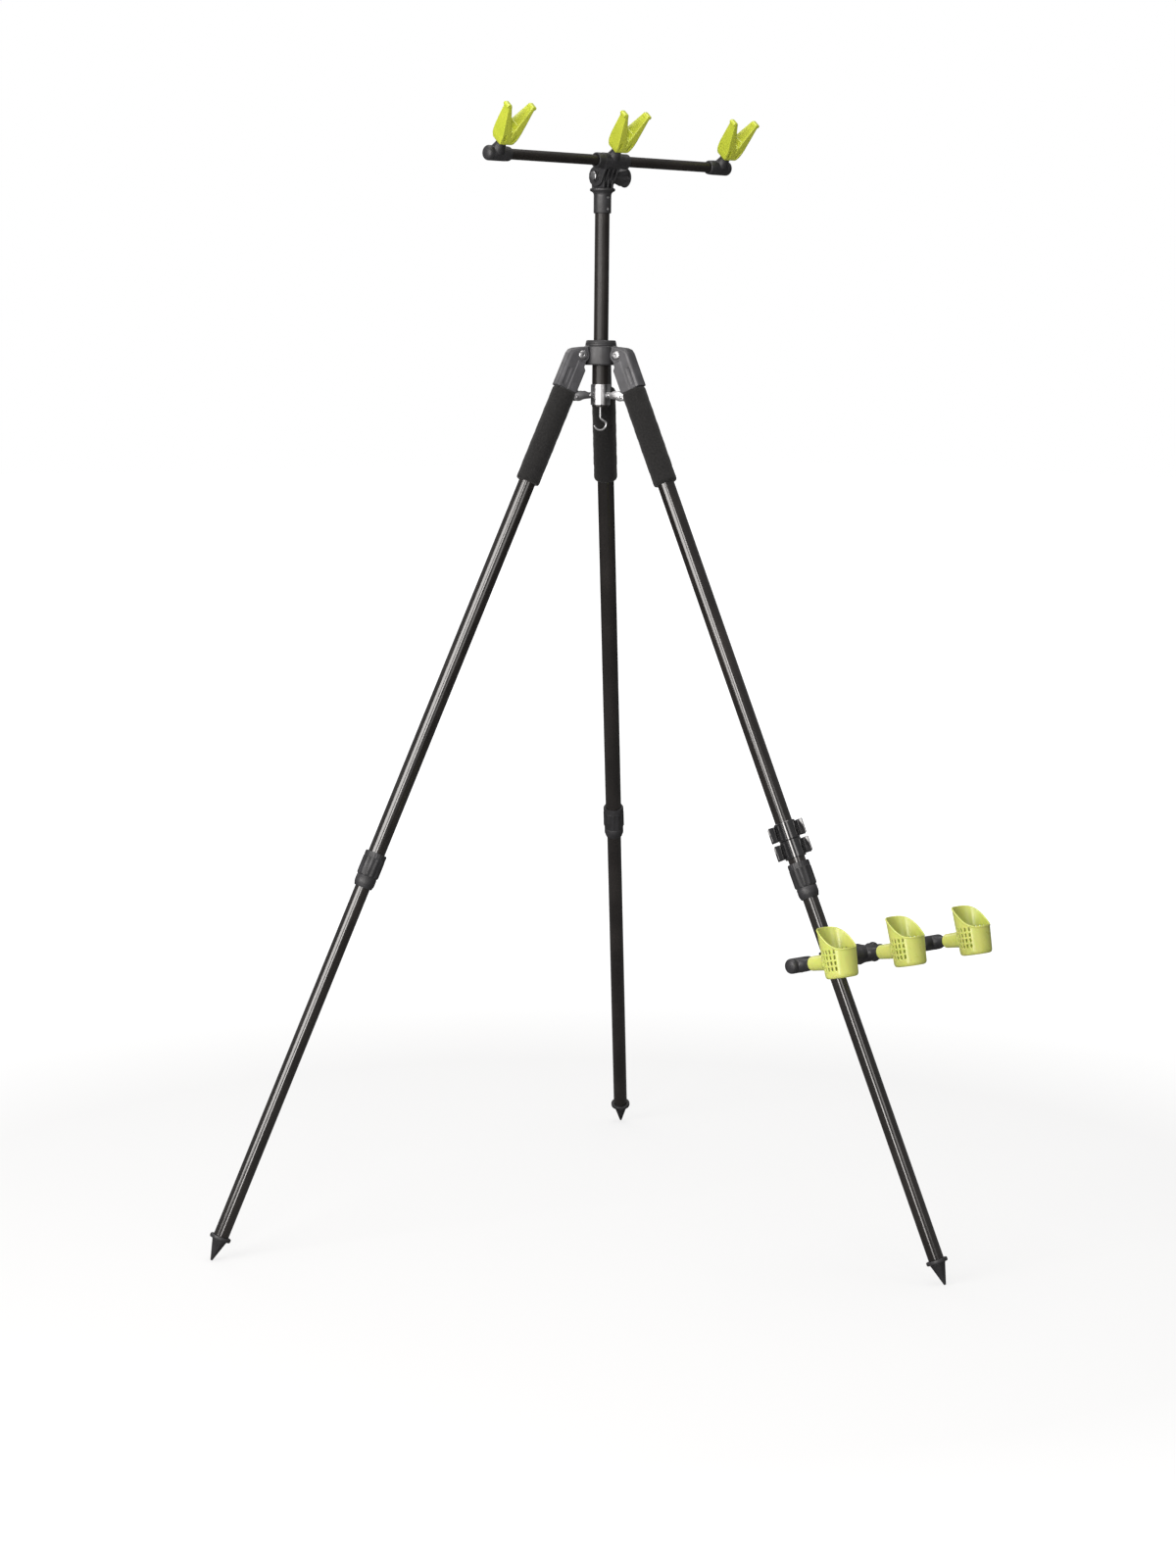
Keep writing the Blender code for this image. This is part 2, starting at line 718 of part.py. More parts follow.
def build_legs():
    shoulder = make_shoulder()
    pin = make_pivot_pin()
    upper = leg_pipe(
        UPPER_RADIUS, UPPER_RADIUS - UPPER_WALL, SHOULDER_END + GAP, UPPER_END, "upper_tube",
    )
    grip = make_grip()
    collar = make_collar()
    lower = leg_pipe(LOWER_RADIUS, LOWER_RADIUS - LOWER_WALL, LOWER_START, LOWER_END, "lower_tube")
    foot = make_foot()
    frames = {}
    for side, bearing in LEG_BEARINGS.items():
        carrier = frame(
            f"{side}_leg",
            (PIVOT_RADIUS * math.cos(bearing), PIVOT_RADIUS * math.sin(bearing), PIVOT_HEIGHT),
            (0, -LEG_LEAN, bearing),
        )
        frames[side] = carrier
        piece(f"{side}_leg_shoulder", shoulder, HUB_PLASTIC, carrier)
        piece(f"{side}_leg_pivot_pin", pin, BRIGHT_METAL, carrier)
        piece(f"{side}_leg_upper_tube", upper, BLACK_PAINT, carrier)
        piece(f"{side}_leg_foam_grip", grip, FOAM, carrier)
        piece(
            f"{side}_leg_lock_collar", collar, DARK_PLASTIC, carrier,
            (LEG_OFFSET, 0, -COLLAR_PLACE),
        )
        piece(f"{side}_leg_lower_tube", lower, BLACK_PAINT, carrier)
        piece(f"{side}_leg_foot", foot, DARK_PLASTIC, carrier)
    return frames


# Hub, column and spreader, in a frame at the pivots' height

def radial(outline, half, bearing):
    """A plate that stands on a leg's bearing, from an outline of distance out and height."""
    upright = FACING_Y
    return prism(outline, -half, half, Matrix.Rotation(bearing, 4, "Z") @ upright)


def across_pivot(radius, half, bearing, steps=SMALL_ROUND):
    """A round bar along a leg's pivot."""
    return rod(
        radius, -half, half,
        Matrix.Rotation(bearing, 4, "Z") @ moved(x=PIVOT_RADIUS) @ FACING_Y, steps,
    )


def make_hub():
    bore = GUIDE_RADIUS + GAP
    seat = GUIDE_TOP + GAP
    collet_bore = COLLET_RADIUS + SLIDE
    core = turned([
        (HUB_RADIUS - 0.001, HUB_TOP), (HUB_RADIUS, HUB_TOP - 0.001),
        (HUB_RADIUS, HUB_BOTTOM + 0.0015), (HUB_RADIUS - 0.0015, HUB_BOTTOM),
        (bore, HUB_BOTTOM), (bore, seat), (collet_bore, seat), (collet_bore, NECK_TOP),
        (NECK_RADIUS, NECK_TOP), (NECK_RADIUS, HUB_TOP),
    ])
    bearings = LEG_BEARINGS.values()
    recess = EYE_RADIUS + 0.0008
    hollowed = combined(
        core, cut=[across_pivot(recess, CHEEK_OUT + 2 * GAP, bearing, 18) for bearing in bearings],
    )
    lug = [
        (HUB_RADIUS - 0.006, -LUG_RADIUS),
        *circle(LUG_RADIUS, (PIVOT_RADIUS, 0), -math.pi / 2, math.pi, 8),
        (HUB_RADIUS - 0.006, LUG_RADIUS),
    ]
    return combined(
        hollowed,
        joined=[radial(lug, LUG_HALF, bearing) for bearing in bearings],
        cut=[across_pivot(PIN_RADIUS + SLIDE, LUG_HALF + 0.002, bearing) for bearing in bearings],
    )


def make_lock_ring():
    under = NECK_TOP + GAP
    outer = RING_OD / 2
    top = RING_TOP_OD / 2
    return as_mesh(
        turned([
            (NECK_RADIUS + SLIDE, HUB_TOP + GAP), (outer, HUB_TOP + GAP),
            (top, RING_TOP - RING_BEVEL), (top - RING_BEVEL, RING_TOP),
            (COLUMN_RADIUS + SLIDE, RING_TOP), (COLUMN_RADIUS + SLIDE, under),
            (NECK_RADIUS + SLIDE, under),
        ]),
        "column_lock_ring",
    )


def make_collet():
    ring = pipe(COLLET_RADIUS, COLUMN_RADIUS + SLIDE, COLLET_BOTTOM, NECK_TOP)
    split = block(
        (0, -COLLET_SLOT / 2, COLLET_BOTTOM - GAP), (NECK_RADIUS, COLLET_SLOT / 2, NECK_TOP + GAP),
    )
    return combined(ring, cut=[split])


def make_end_plug():
    flange = GUIDE_BOTTOM + PLUG_FLANGE
    shank = COLUMN_RADIUS - COLUMN_WALL - GAP
    hole = WIRE_RADIUS + GAP
    return as_mesh(
        turned([
            (hole, flange + PLUG_LENGTH), (shank, flange + PLUG_LENGTH), (shank, flange),
            (COLUMN_RADIUS, flange), (COLUMN_RADIUS, GUIDE_BOTTOM), (hole, GUIDE_BOTTOM),
        ]),
        "column_end_plug",
    )


def hook_route():
    """The wire's centre line, from its top in the plug down and round its ring."""
    bend_steps = 6
    ring_steps = 12
    centre = HOOK_BEND - HOOK_DROP
    route = [(0.0, HOOK_TOP), (0.0, (HOOK_TOP + HOOK_BEND) / 2)]
    for step in range(bend_steps):
        part = step / bend_steps
        route.append((HOOK_RADIUS * (1 - math.cos(math.pi * part)) / 2, HOOK_BEND - HOOK_DROP * part))
    route += circle(HOOK_RADIUS, (0.0, centre), 0.0, -HOOK_SWEEP, ring_steps)
    return route


def make_hook(carrier):
    curve = bpy.data.curves.new("weight_hook", "CURVE")
    curve.dimensions = "3D"
    curve.bevel_depth = WIRE_RADIUS
    curve.bevel_resolution = 1
    curve.use_fill_caps = True
    route = hook_route()
    spline = curve.splines.new("POLY")
    spline.points.add(len(route) - 1)
    spline.use_smooth = True
    for point, (x, z) in zip(spline.points, route):
        point.co = (x, 0, z, 1)
    curve.materials.append(material(BRIGHT_METAL))
    hook = bpy.data.objects.new("weight_hook", curve)
    bpy.context.collection.objects.link(hook)
    hook.parent = carrier
    hook.rotation_euler = (0, 0, HOOK_TURN)


def make_sleeve():
    body = pipe(SLEEVE_RADIUS, SLEEVE_INNER, SLEEVE_BOTTOM, SLEEVE_TOP)
    lug = [
        (SLEEVE_INNER + SLEEVE_WALL / 2, SLEEVE_PIN_HEIGHT - LINK_LUG_RADIUS),
        *circle(
            LINK_LUG_RADIUS, (SLEEVE_PIN_RADIUS, SLEEVE_PIN_HEIGHT), -math.pi / 2, math.pi, 6,
        ),
        (SLEEVE_INNER + SLEEVE_WALL / 2, SLEEVE_PIN_HEIGHT + LINK_LUG_RADIUS),
    ]
    bearings = LEG_BEARINGS.values()
    hole = LINK_PIN_RADIUS + SLIDE
    return combined(
        body,
        joined=[radial(lug, LINK_LUG_HALF, bearing) for bearing in bearings],
        cut=[
            rod(
                hole, -LINK_LUG_HALF - GAP, LINK_LUG_HALF + GAP,
                Matrix.Rotation(bearing, 4, "Z")
                @ moved(x=SLEEVE_PIN_RADIUS, z=SLEEVE_PIN_HEIGHT) @ FACING_Y,
                10,
            )
            for bearing in bearings
        ],
    )


def link_span():
    """Length and slope of a link at rest, from the sleeve's pin to the leg's."""
    out, down = LINK_LUG_INWARD, -LINK_LUG_PLACE
    across = PIVOT_RADIUS + out * math.cos(LEG_LEAN) - down * math.sin(LEG_LEAN)
    height = out * math.sin(LEG_LEAN) + down * math.cos(LEG_LEAN)
    run = across - SLEEVE_PIN_RADIUS
    fall = SLEEVE_PIN_HEIGHT - height
    return math.hypot(run, fall), math.atan2(fall, run)


def make_link():
    """Two plates and their two pins, in a frame at the inner pin with +X along it."""
    length, _ = link_span()
    neck = length * 0.62
    outline = [
        *circle(LINK_EYE, (0, 0), math.pi * 0.5, math.pi, 6),
        (neck, -LINK_EYE),
        (neck + 0.003, -LINK_DOWN),
        (length, -LINK_DOWN),
        *circle(LINK_DOWN * 0.94, (length, 0), -math.pi * 0.35, math.pi * 0.7, 4),
        (length - LINK_CORNER, LINK_UP),
        (LINK_EYE + LINK_CORNER, LINK_UP),
    ]
    plates = [
        prism(outline, side * LINK_INSIDE, side * (LINK_INSIDE + LINK_PLATE), FACING_Y)
        for side in (-1, 1)
    ]
    half = LINK_INSIDE + LINK_PLATE + 0.0008
    pins = [rod(LINK_PIN_RADIUS, -half, half, moved(x=place) @ FACING_Y, 10) for place in (0, length)]
    return combined(plates[0], joined=[*pins, plates[1]])


def build_spine():
    spine = frame("spine", (0, 0, PIVOT_HEIGHT))
    piece("hub_body", make_hub(), HUB_PLASTIC, spine)
    guide = as_mesh(pipe(GUIDE_RADIUS, GUIDE_INNER, GUIDE_BOTTOM, GUIDE_TOP), "column_guide_tube")
    piece("column_guide_tube", guide, BLACK_PAINT, spine)
    piece("column_lock_ring", make_lock_ring(), DARK_PLASTIC, spine)
    piece("column_collet", make_collet(), DARK_PLASTIC, spine)
    column = as_mesh(
        pipe(
            COLUMN_RADIUS, COLUMN_RADIUS - COLUMN_WALL,
            GUIDE_BOTTOM + PLUG_FLANGE + GAP, COLUMN_TOP,
        ),
        "column_tube",
    )
    piece("column_tube", column, BLACK_PAINT, spine)
    piece("column_end_plug", make_end_plug(), DARK_PLASTIC, spine)
    make_hook(spine)
    piece("spreader_sleeve", make_sleeve(), BRIGHT_METAL, spine)
    link = make_link()
    _, slope = link_span()
    for side, bearing in LEG_BEARINGS.items():
        hinge = frame(
            f"{side}_link_pin",
            (
                SLEEVE_PIN_RADIUS * math.cos(bearing), SLEEVE_PIN_RADIUS * math.sin(bearing),
                SLEEVE_PIN_HEIGHT,
            ),
            (0, slope, bearing), spine,
        )
        piece(f"{side}_spreader_link", link, BRIGHT_METAL, hinge)
    return spine


# Knuckle pieces, in a frame at the tilt bolt with X along it

def fins(count, outline):
    """Plates square to X, spaced like the knuckle's, from an outline of Y and Z."""
    standing = Matrix.Rotation(math.radians(90), 4, "Z") @ FACING_Y
    first = -(count - 1) / 2
    return [
        prism(outline, -FIN / 2, FIN / 2, moved(x=(first + k) * FIN_PITCH) @ standing)
        for k in range(count)
    ]


def bolt_hole(half):
    return rod(BOLT_HOLE, -half, half, ALONG_X)


def seat_outline(base):
    """A fin of the fixed side, down to its base."""
    return [
        (-SEAT_RADIUS * 0.9, base),
        (SEAT_RADIUS * 0.9, base),
        *circle(SEAT_RADIUS, (0, 0), math.radians(-18), math.radians(216), 8),
    ]


def knuckle_outline():
    """A fin of the tilting side, up to the bar."""
    return [
        *circle(KNUCKLE_RADIUS, (0, 0), math.radians(152), math.radians(236), 9),
        (TEE_RADIUS * 0.86, KNUCKLE_TOP),
        (-TEE_RADIUS * 0.86, KNUCKLE_TOP),
    ]


def stub_solids(place):
    """The upright stub that a rest or a cup turns on, and the hole for its stud."""
    profile = [
        (0, STUB_TOP), (STUB_RADIUS, STUB_TOP), (STUB_RADIUS, 0.018), (STUB_ROOT_RADIUS, 0.0065), (0, 0.0065),
    ]
    hole = rod(STUD_RADIUS + SLIDE, STUB_TOP - STUB_HOLE_DEPTH, STUB_TOP + GAP, place, STUD_ROUND)
    return turned(profile, place, STUB_ROUND), hole


def make_tee():
    place = moved(z=TEE_REACH)
    half = TEE_LENGTH / 2
    band = half - TEE_BAND
    barrel = turned(
        [
            (0, half), (TEE_BAND_RADIUS, half), (TEE_BAND_RADIUS, band), (TEE_RADIUS, band),
            (TEE_RADIUS, -band), (TEE_BAND_RADIUS, -band), (TEE_BAND_RADIUS, -half), (0, -half),
        ],
        place @ ALONG_X,
    )
    saddle = prism(
        circle(SADDLE_RADIUS, (0, 0), -SADDLE_DROP, 2 * SADDLE_DROP - math.pi, 6),
        -KNUCKLE_HALF - SADDLE_END, KNUCKLE_HALF + SADDLE_END,
        place @ Matrix.Rotation(math.radians(90), 4, "Z") @ FACING_Y,
    )
    stub, stud_hole = stub_solids(place)
    near = -KNUCKLE_HALF
    boss = rod(BOSS_RADIUS, near - BOSS_RAISE, near + FIN / 2, ALONG_X)
    far_boss = rod(
        FAR_BOSS_RADIUS, KNUCKLE_HALF - FIN / 2, KNUCKLE_HALF + FAR_BOSS_RAISE, ALONG_X,
    )
    recess = rod(
        HEX_ACROSS / math.sqrt(3) + 0.0008, near - BOSS_RAISE - GAP, near - BOSS_RAISE + BOSS_RECESS,
        ALONG_X,
    )
    bar_hole = rod(BAR_RADIUS + GAP, -half - GAP, half + GAP, place @ ALONG_X, ROUND)
    return combined(
        barrel,
        joined=[saddle, stub, *fins(4, knuckle_outline()), boss, far_boss],
        cut=[bolt_hole(KNUCKLE_HALF * 2), recess, stud_hole, bar_hole],
    )


def make_socket():
    """Head socket, which caps the column, with its three fins."""
    top = -SEAT_DROP
    bottom = top - SOCKET_LENGTH
    outer = SOCKET_OD / 2
    flange = SOCKET_FLANGE_OD / 2
    under = top - SOCKET_FLANGE
    bore = COLUMN_RADIUS + GAP
    neck = circle(SOCKET_NECK, (outer + SOCKET_NECK, under - SOCKET_NECK), math.pi * 0.5, math.pi / 2, 3)
    body = turned([
        (0, top), (flange - 0.0012, top), (flange, top - 0.0012), (flange, under + 0.0012),
        (flange - 0.0012, under), *neck[1:],
        (outer, bottom), (bore, bottom), (bore, top - SOCKET_CAP), (0, top - SOCKET_CAP),
    ])
    grub_room = GRUB_RADIUS + GAP
    return combined(
        body,
        joined=fins(3, seat_outline(top - SOCKET_CAP / 2)),
        cut=[
            bolt_hole(KNUCKLE_HALF),
            *[
                rod(grub_room, 0, flange, moved(z=top - drop) @ FACING_Y, STUD_ROUND)
                for drop in GRUB_DROPS
            ],
        ],
    )


def make_grub():
    """A grub screw in the socket's wall, with +Z pointing out of the socket."""
    depth = SOCKET_OD / 2 - COLUMN_RADIUS
    inner = COLUMN_RADIUS + GAP
    key = prism(circle(GRUB_RADIUS * 0.55, steps=6), inner + depth * 0.45, inner + depth)
    body = rod(GRUB_RADIUS, inner, inner + depth - 2 * GAP, steps=STUD_ROUND)
    return combined(body, cut=[key])


def make_bolt():
    """Hexagon head at the -X side, with a shank that ends inside the knob."""
    seat = -KNUCKLE_HALF - BOSS_RAISE + BOSS_RECESS - GAP
    head = prism(circle(HEX_ACROSS / math.sqrt(3), steps=6), seat - HEX_HEIGHT, seat, ALONG_X)
    shank = rod(BOLT_RADIUS, seat - HEX_HEIGHT / 2, BOLT_REACH, ALONG_X)
    return combined(head, joined=[shank])


def make_washer():
    start = KNUCKLE_HALF + FAR_BOSS_RAISE + GAP
    return as_mesh(pipe(WASHER_RADIUS, BOLT_HOLE, start, start + WASHER, ALONG_X, SMALL_ROUND), "washer")


def make_knob():
    """Flared star knob with its base at the washer."""
    start = KNUCKLE_HALF + FAR_BOSS_RAISE + WASHER + 2 * GAP
    sections = [
        (KNOB_BASE_RADIUS, 0, 0), (KNOB_RADIUS * 0.68, 0.001, 0.33),
        (KNOB_RADIUS * 0.88, KNOB_SCALLOP * 0.7, 0.58), (KNOB_RADIUS, KNOB_SCALLOP, 0.82),
        (KNOB_RADIUS, KNOB_SCALLOP, 0.92), (KNOB_RADIUS * 0.92, KNOB_SCALLOP * 0.85, 1),
    ]
    body = lofted(
        [
            fluted(radius, depth, KNOB_LOBES, start + KNOB_LENGTH * part)
            for radius, depth, part in sections
        ],
        ALONG_X,
    )
    return combined(body, cut=[rod(BOLT_HOLE, start - GAP, start + KNOB_BORE_DEPTH, ALONG_X)])


def make_cap():
    """End cap of a bar, at its stub, with the closed end towards -X."""
    closed = BAR_OVERLAP + GAP
    body = turned(
        [
            (0, -CAP_OUTER), (CAP_RADIUS * 0.8, -CAP_OUTER + CAP_DOME * 0.45),
            (CAP_RADIUS, -CAP_OUTER + CAP_DOME * 1.3), (CAP_RADIUS, CAP_INNER), (0, CAP_INNER),
        ],
        ALONG_X,
    )
    stub, stud_hole = stub_solids(Matrix())
    bar_hole = rod(BAR_RADIUS + GAP, -closed, CAP_INNER + GAP, ALONG_X, ROUND)
    return combined(body, joined=[stub], cut=[stud_hole, bar_hole])


# Rests and cups, in a frame on the bar's axis with +Z up their stub

def make_rest():
    """V rest: the front outline of the V and the drop-shaped side outline, cut by each other."""
    root = circle(REST_ROOT_RADIUS, (0, REST_ROOT + REST_ROOT_RADIUS), math.radians(205), math.radians(130), 6)
    front = [
        (REST_TIP_OUT, REST_TOP), (REST_TIP_IN, REST_TOP),
        *reversed(root),
        (-REST_TIP_IN, REST_TOP), (-REST_TIP_OUT, REST_TOP),
        (-REST_BELLY_HALF, REST_BELLY), (-REST_BELLY_HALF * 0.92, REST_BOTTOM + REST_ANKLE),
        (-REST_FOOT_HALF, REST_BOTTOM), (REST_FOOT_HALF, REST_BOTTOM),
        (REST_BELLY_HALF * 0.92, REST_BOTTOM + REST_ANKLE), (REST_BELLY_HALF, REST_BELLY),
    ]
    side = [
        (REST_FOOT_DEPTH_HALF, REST_BOTTOM - 0.001),
        *circle(REST_DEPTH_HALF, (0, REST_BELLY), math.radians(-28), math.radians(52), 6),
        (REST_TOP_DEPTH_HALF, REST_TOP + 0.001),
    ]
    side += [(-y, z) for y, z in reversed(side)]
    edge_on = Matrix.Rotation(math.radians(90), 4, "Z") @ FACING_Y
    width = REST_TIP_OUT * 2
    body = prism(front, -REST_DEPTH_HALF * 2, REST_DEPTH_HALF * 2, FACING_Y)
    kept = crossed(body, prism(side, -width, width, edge_on))
    lips = [
        rod(
            REST_LIP_RADIUS, -REST_TOP_DEPTH_HALF, REST_TOP_DEPTH_HALF,
            moved(x=sign * (REST_TIP_OUT - REST_LIP_RADIUS * 0.3), z=REST_TOP - REST_LIP_RADIUS)
            @ FACING_Y, STUD_ROUND,
        )
        for sign in (-1, 1)
    ]
    stud = rod(STUD_RADIUS, STUB_TOP - STUD_LENGTH, STUB_TOP + 0.004, steps=STUD_ROUND)
    socket = rod(STUB_RADIUS + SLIDE, REST_BOTTOM - 0.002, STUB_TOP + GAP, steps=STUB_ROUND)
    hollow = combined(kept, joined=lips, cut=[socket])
    return combined(hollow, joined=[stud])


def crossed(shape, other):
    """What two shapes have in common."""
    body = helper(shape)
    tool = helper(other)
    change = body.modifiers.new("crossed", "BOOLEAN")
    change.operation = "INTERSECT"
    change.solver = "EXACT"
    change.object = tool
    graph = bpy.context.evaluated_depsgraph_get()
    mesh = bpy.data.meshes.new_from_object(body.evaluated_get(graph))
    for thing in (tool, body):
        bpy.data.objects.remove(thing)
    return mesh


def cup_place():
    """The cup's own frame, with +Z up the cup and -Y away from the bar, set on its stub."""
    axis = STUB_TOP + GAP + CUP_BOSS_LENGTH + CUP_BOTTOM_RADIUS
    upright = Matrix.Rotation(math.radians(-90), 4, "X")
    return moved(z=axis) @ upright @ moved(z=-CUP_BELOW_BOSS)


def make_cup():
    """Butt cup in its own frame: floor at the bottom, boss towards +Y, low front towards -Y."""
    slope = (CUP_TOP_RADIUS - CUP_BOTTOM_RADIUS) / CUP_HEIGHT
    inner_bottom = CUP_BOTTOM_RADIUS - CUP_WALL
    inner_top = CUP_TOP_RADIUS - CUP_WALL
    shell = turned(
        [
            (0, CUP_WALL), (inner_bottom, CUP_WALL),
            (inner_top, CUP_HEIGHT), (CUP_TOP_RADIUS, CUP_HEIGHT),
            (CUP_BOTTOM_RADIUS, 0.0025), (CUP_BOTTOM_RADIUS - 0.0025, 0), (0, 0),
        ],
    )
    high = CUP_HEIGHT
    low = CUP_FRONT_HEIGHT
    reach = CUP_TOP_RADIUS * 1.4
    steps = 6
    rim = []
    for step in range(steps + 1):
        part = step / steps
        rim.append((
            CUP_TOP_RADIUS * (1 - 2 * part),
            low + (high - low) * (1 + math.cos(math.pi * min(1, part * 1.06))) / 2,
        ))
    above = [
        (reach, high), *rim, (-reach, low), (-reach, high * 1.5), (reach, high * 1.5),
    ]
    sideways = Matrix.Rotation(math.radians(90), 4, "Z") @ FACING_Y
    trim = prism(above, -reach, reach, sideways)
    boss_axis = moved(z=CUP_BELOW_BOSS) @ Matrix.Rotation(math.radians(-90), 4, "X")
    boss_start = CUP_BOTTOM_RADIUS - CUP_WALL / 2
    boss_end = CUP_BOTTOM_RADIUS + CUP_BOSS_LENGTH
    boss = turned(
        [
            (0, boss_end), (CUP_BOSS_RADIUS, boss_end),
            (CUP_BOSS_END_RADIUS, boss_start), (0, boss_start),
        ],
        boss_axis, SMALL_ROUND,
    )
    stud = rod(STUD_RADIUS, boss_end - 0.002, boss_end + STUD_LENGTH, boss_axis, STUD_ROUND)
    width, tall = CUP_SLOT
    slots = []
    for side in (-1, 1):
        for column in range(CUP_SLOT_COLUMNS):
            bearing = side * CUP_SLOT_TURN * (column + CUP_SLOT_LEAD - CUP_SLOT_COLUMNS / 2)
            facing = 0 if side > 0 else math.pi
            turn = Matrix.Rotation(facing + bearing, 4, "Z")
            for row in range(CUP_SLOT_ROWS):
                foot = CUP_SLOT_FIRST + row * CUP_SLOT_RISE
                radius = CUP_BOTTOM_RADIUS + slope * foot
                slots.append(block(
                    (radius - CUP_WALL * 2, -width / 2, foot),
                    (radius + CUP_WALL, width / 2, foot + tall), turn,
                ))
    cup = combined(shell, joined=[boss], cut=[trim, together(slots)])
    whole = combined(cup, joined=[stud])
    whole.transform(cup_place())
    return whole


# Clamp and clips on the back leg

def make_clamp(lean):
    """Leg clamp in a frame on the leg's axis: X is level, Z points out to the tilt bolt. lean is the leg's way there."""
    to_leg = lean.to_track_quat("Z", "X").to_matrix().to_4x4()
    half = CLAMP_LENGTH / 2
    bore = LOWER_RADIUS + SLIDE
    sleeve = turned(
        [
            (0, half), (CLAMP_RADIUS - 0.001, half), (CLAMP_RADIUS, half - 0.001),
            (CLAMP_RADIUS, -half + 0.001), (CLAMP_RADIUS - 0.001, -half), (0, -half),
        ],
        to_leg,
    )
    base = CLAMP_REACH - SEAT_DROP
    wide, deep = CLAMP_NECK
    neck = block((-wide / 2, -deep / 2, 0), (wide / 2, deep / 2, base))
    outline = [(y, z + CLAMP_REACH) for y, z in seat_outline(-SEAT_DROP - 0.002)]
    return combined(
        sleeve,
        joined=[neck, *fins(3, outline)],
        cut=[
            rod(bore, -half * 2, half * 2, to_leg, ROUND),
            rod(BOLT_HOLE, -KNUCKLE_HALF, KNUCKLE_HALF, moved(z=CLAMP_REACH) @ ALONG_X),
        ],
    )


def make_clip():
    """Clip in a frame on the leg's axis: a ring round the tube with an open jaw on each side."""
    inner = UPPER_RADIUS + GAP
    outer = inner + CLIP_RING
    half = CLIP_LENGTH / 2
    jaws = []
    for side in (0, math.pi):
        outside = circle(
            CLIP_JAW_RADIUS + CLIP_ARM, (CLIP_JAW_CENTRE, 0), math.pi - CLIP_JAW_SWEEP,
            2 * CLIP_JAW_SWEEP, 8,
        )
        inside = circle(
            CLIP_JAW_RADIUS, (CLIP_JAW_CENTRE, 0), math.pi + CLIP_JAW_SWEEP,
            -2 * CLIP_JAW_SWEEP, 8,
        )
        jaws.append(prism(
            outside + inside, -CLIP_JAW_LENGTH / 2, CLIP_JAW_LENGTH / 2, Matrix.Rotation(side, 4, "Z"),
        ))
    return combined(
        pipe(outer, UPPER_RADIUS / 2, -half, half),
        joined=jaws,
        cut=[rod(inner, -half * 2, half * 2, steps=ROUND)],
    )


# Assembly

def build_bar(carrier, prefix, station, cap, holder_name, holder):
    """A bar with its end caps, and a holder on each of its three stubs."""
    reach = station + BAR_OVERLAP
    bar = as_mesh(
        pipe(BAR_RADIUS, BAR_RADIUS - BAR_WALL, -reach, reach, ALONG_X), f"{prefix}_bar",
    )
    level = (0, 0, TEE_REACH)
    piece(f"{prefix}_bar", bar, BLACK_PAINT, carrier, level)
    for side, sign in (("left", -1), ("middle", 0), ("right", 1)):
        spot = (sign * station, 0, TEE_REACH)
        piece(f"{holder_name}_{side}", holder, LIME, carrier, spot)
        if sign:
            turn = 0 if sign < 0 else math.pi
            piece(f"{prefix}_cap_{side}", cap, DARK_PLASTIC, carrier, spot, (0, 0, turn))


def build_knuckle(carrier, prefix, shared):
    piece(f"{prefix}_tee", shared["tee"], DARK_PLASTIC, carrier)
    piece(f"{prefix}_bolt", shared["bolt"], BRIGHT_METAL, carrier)
    piece(f"{prefix}_washer", shared["washer"], BRIGHT_METAL, carrier)
    piece(f"{prefix}_knob", shared["knob"], DARK_PLASTIC, carrier)


def build_head(shared):
    head = frame("head", (0, 0, PIVOT_HEIGHT + HEAD_RISE))
    piece("head_socket", make_socket(), DARK_PLASTIC, head)
    grub = make_grub()
    for place, drop in zip(("upper", "lower"), GRUB_DROPS):
        piece(
            f"socket_screw_{place}", grub, BRIGHT_METAL, head,
            (0, 0, -SEAT_DROP - drop), (math.radians(90), 0, 0),
        )
    tilted = frame("head_tilt", (0, 0, PIVOT_HEIGHT + HEAD_RISE), (HEAD_TILT, 0, 0))
    build_knuckle(tilted, "top", shared)
    build_bar(tilted, "top", TOP_STATION, shared["cap"], "rod_rest", make_rest())


def build_lower(back_leg, shared):
    """The clamp on the back leg's lower tube, its tilting tee and the bar of cups."""
    bpy.context.view_layer.update()
    pose = back_leg.matrix_world
    centre = pose @ Vector((LEG_OFFSET, 0, -CLAMP_PLACE))
    down = (pose.to_3x3() @ Vector((0, 0, -1))).normalized()
    lean = math.radians(90) - LEG_LEAN
    clamp = frame("leg_clamp_frame", centre, (lean, 0, 0))
    to_clamp = Matrix.Rotation(-lean, 3, "X")
    piece("leg_clamp", make_clamp(to_clamp @ down), DARK_PLASTIC, clamp)
    out = Vector((0, -math.cos(LEG_LEAN), math.sin(LEG_LEAN)))
    tilted = frame("lower_tilt", centre + CLAMP_REACH * out, (LOWER_TILT, 0, 0))
    build_knuckle(tilted, "lower", shared)
    build_bar(tilted, "lower", LOWER_STATION, shared["cap"], "rod_cup", make_cup())


def build_clips(back_leg):
    clip = make_clip()
    lower = COLLAR_PLACE - (COLLAR_LENGTH + CLIP_LENGTH) / 2 - CLIP_CLEAR
    upper = lower - CLIP_LENGTH - GAP
    for name, place in (("upper", upper), ("lower", lower)):
        piece(
            f"transport_clip_{name}", clip, GLOSS_BLACK, back_leg, (LEG_OFFSET, 0, -place),
            (0, 0, CLIP_TURN),
        )


def main():
    clear_scene()
    build_spine()
    legs = build_legs()
    shared = {
        "tee": make_tee(), "bolt": make_bolt(), "washer": make_washer(), "knob": make_knob(),
        "cap": make_cap(),
    }
    build_head(shared)
    build_lower(legs["back"], shared)
    build_clips(legs["back"])


main()
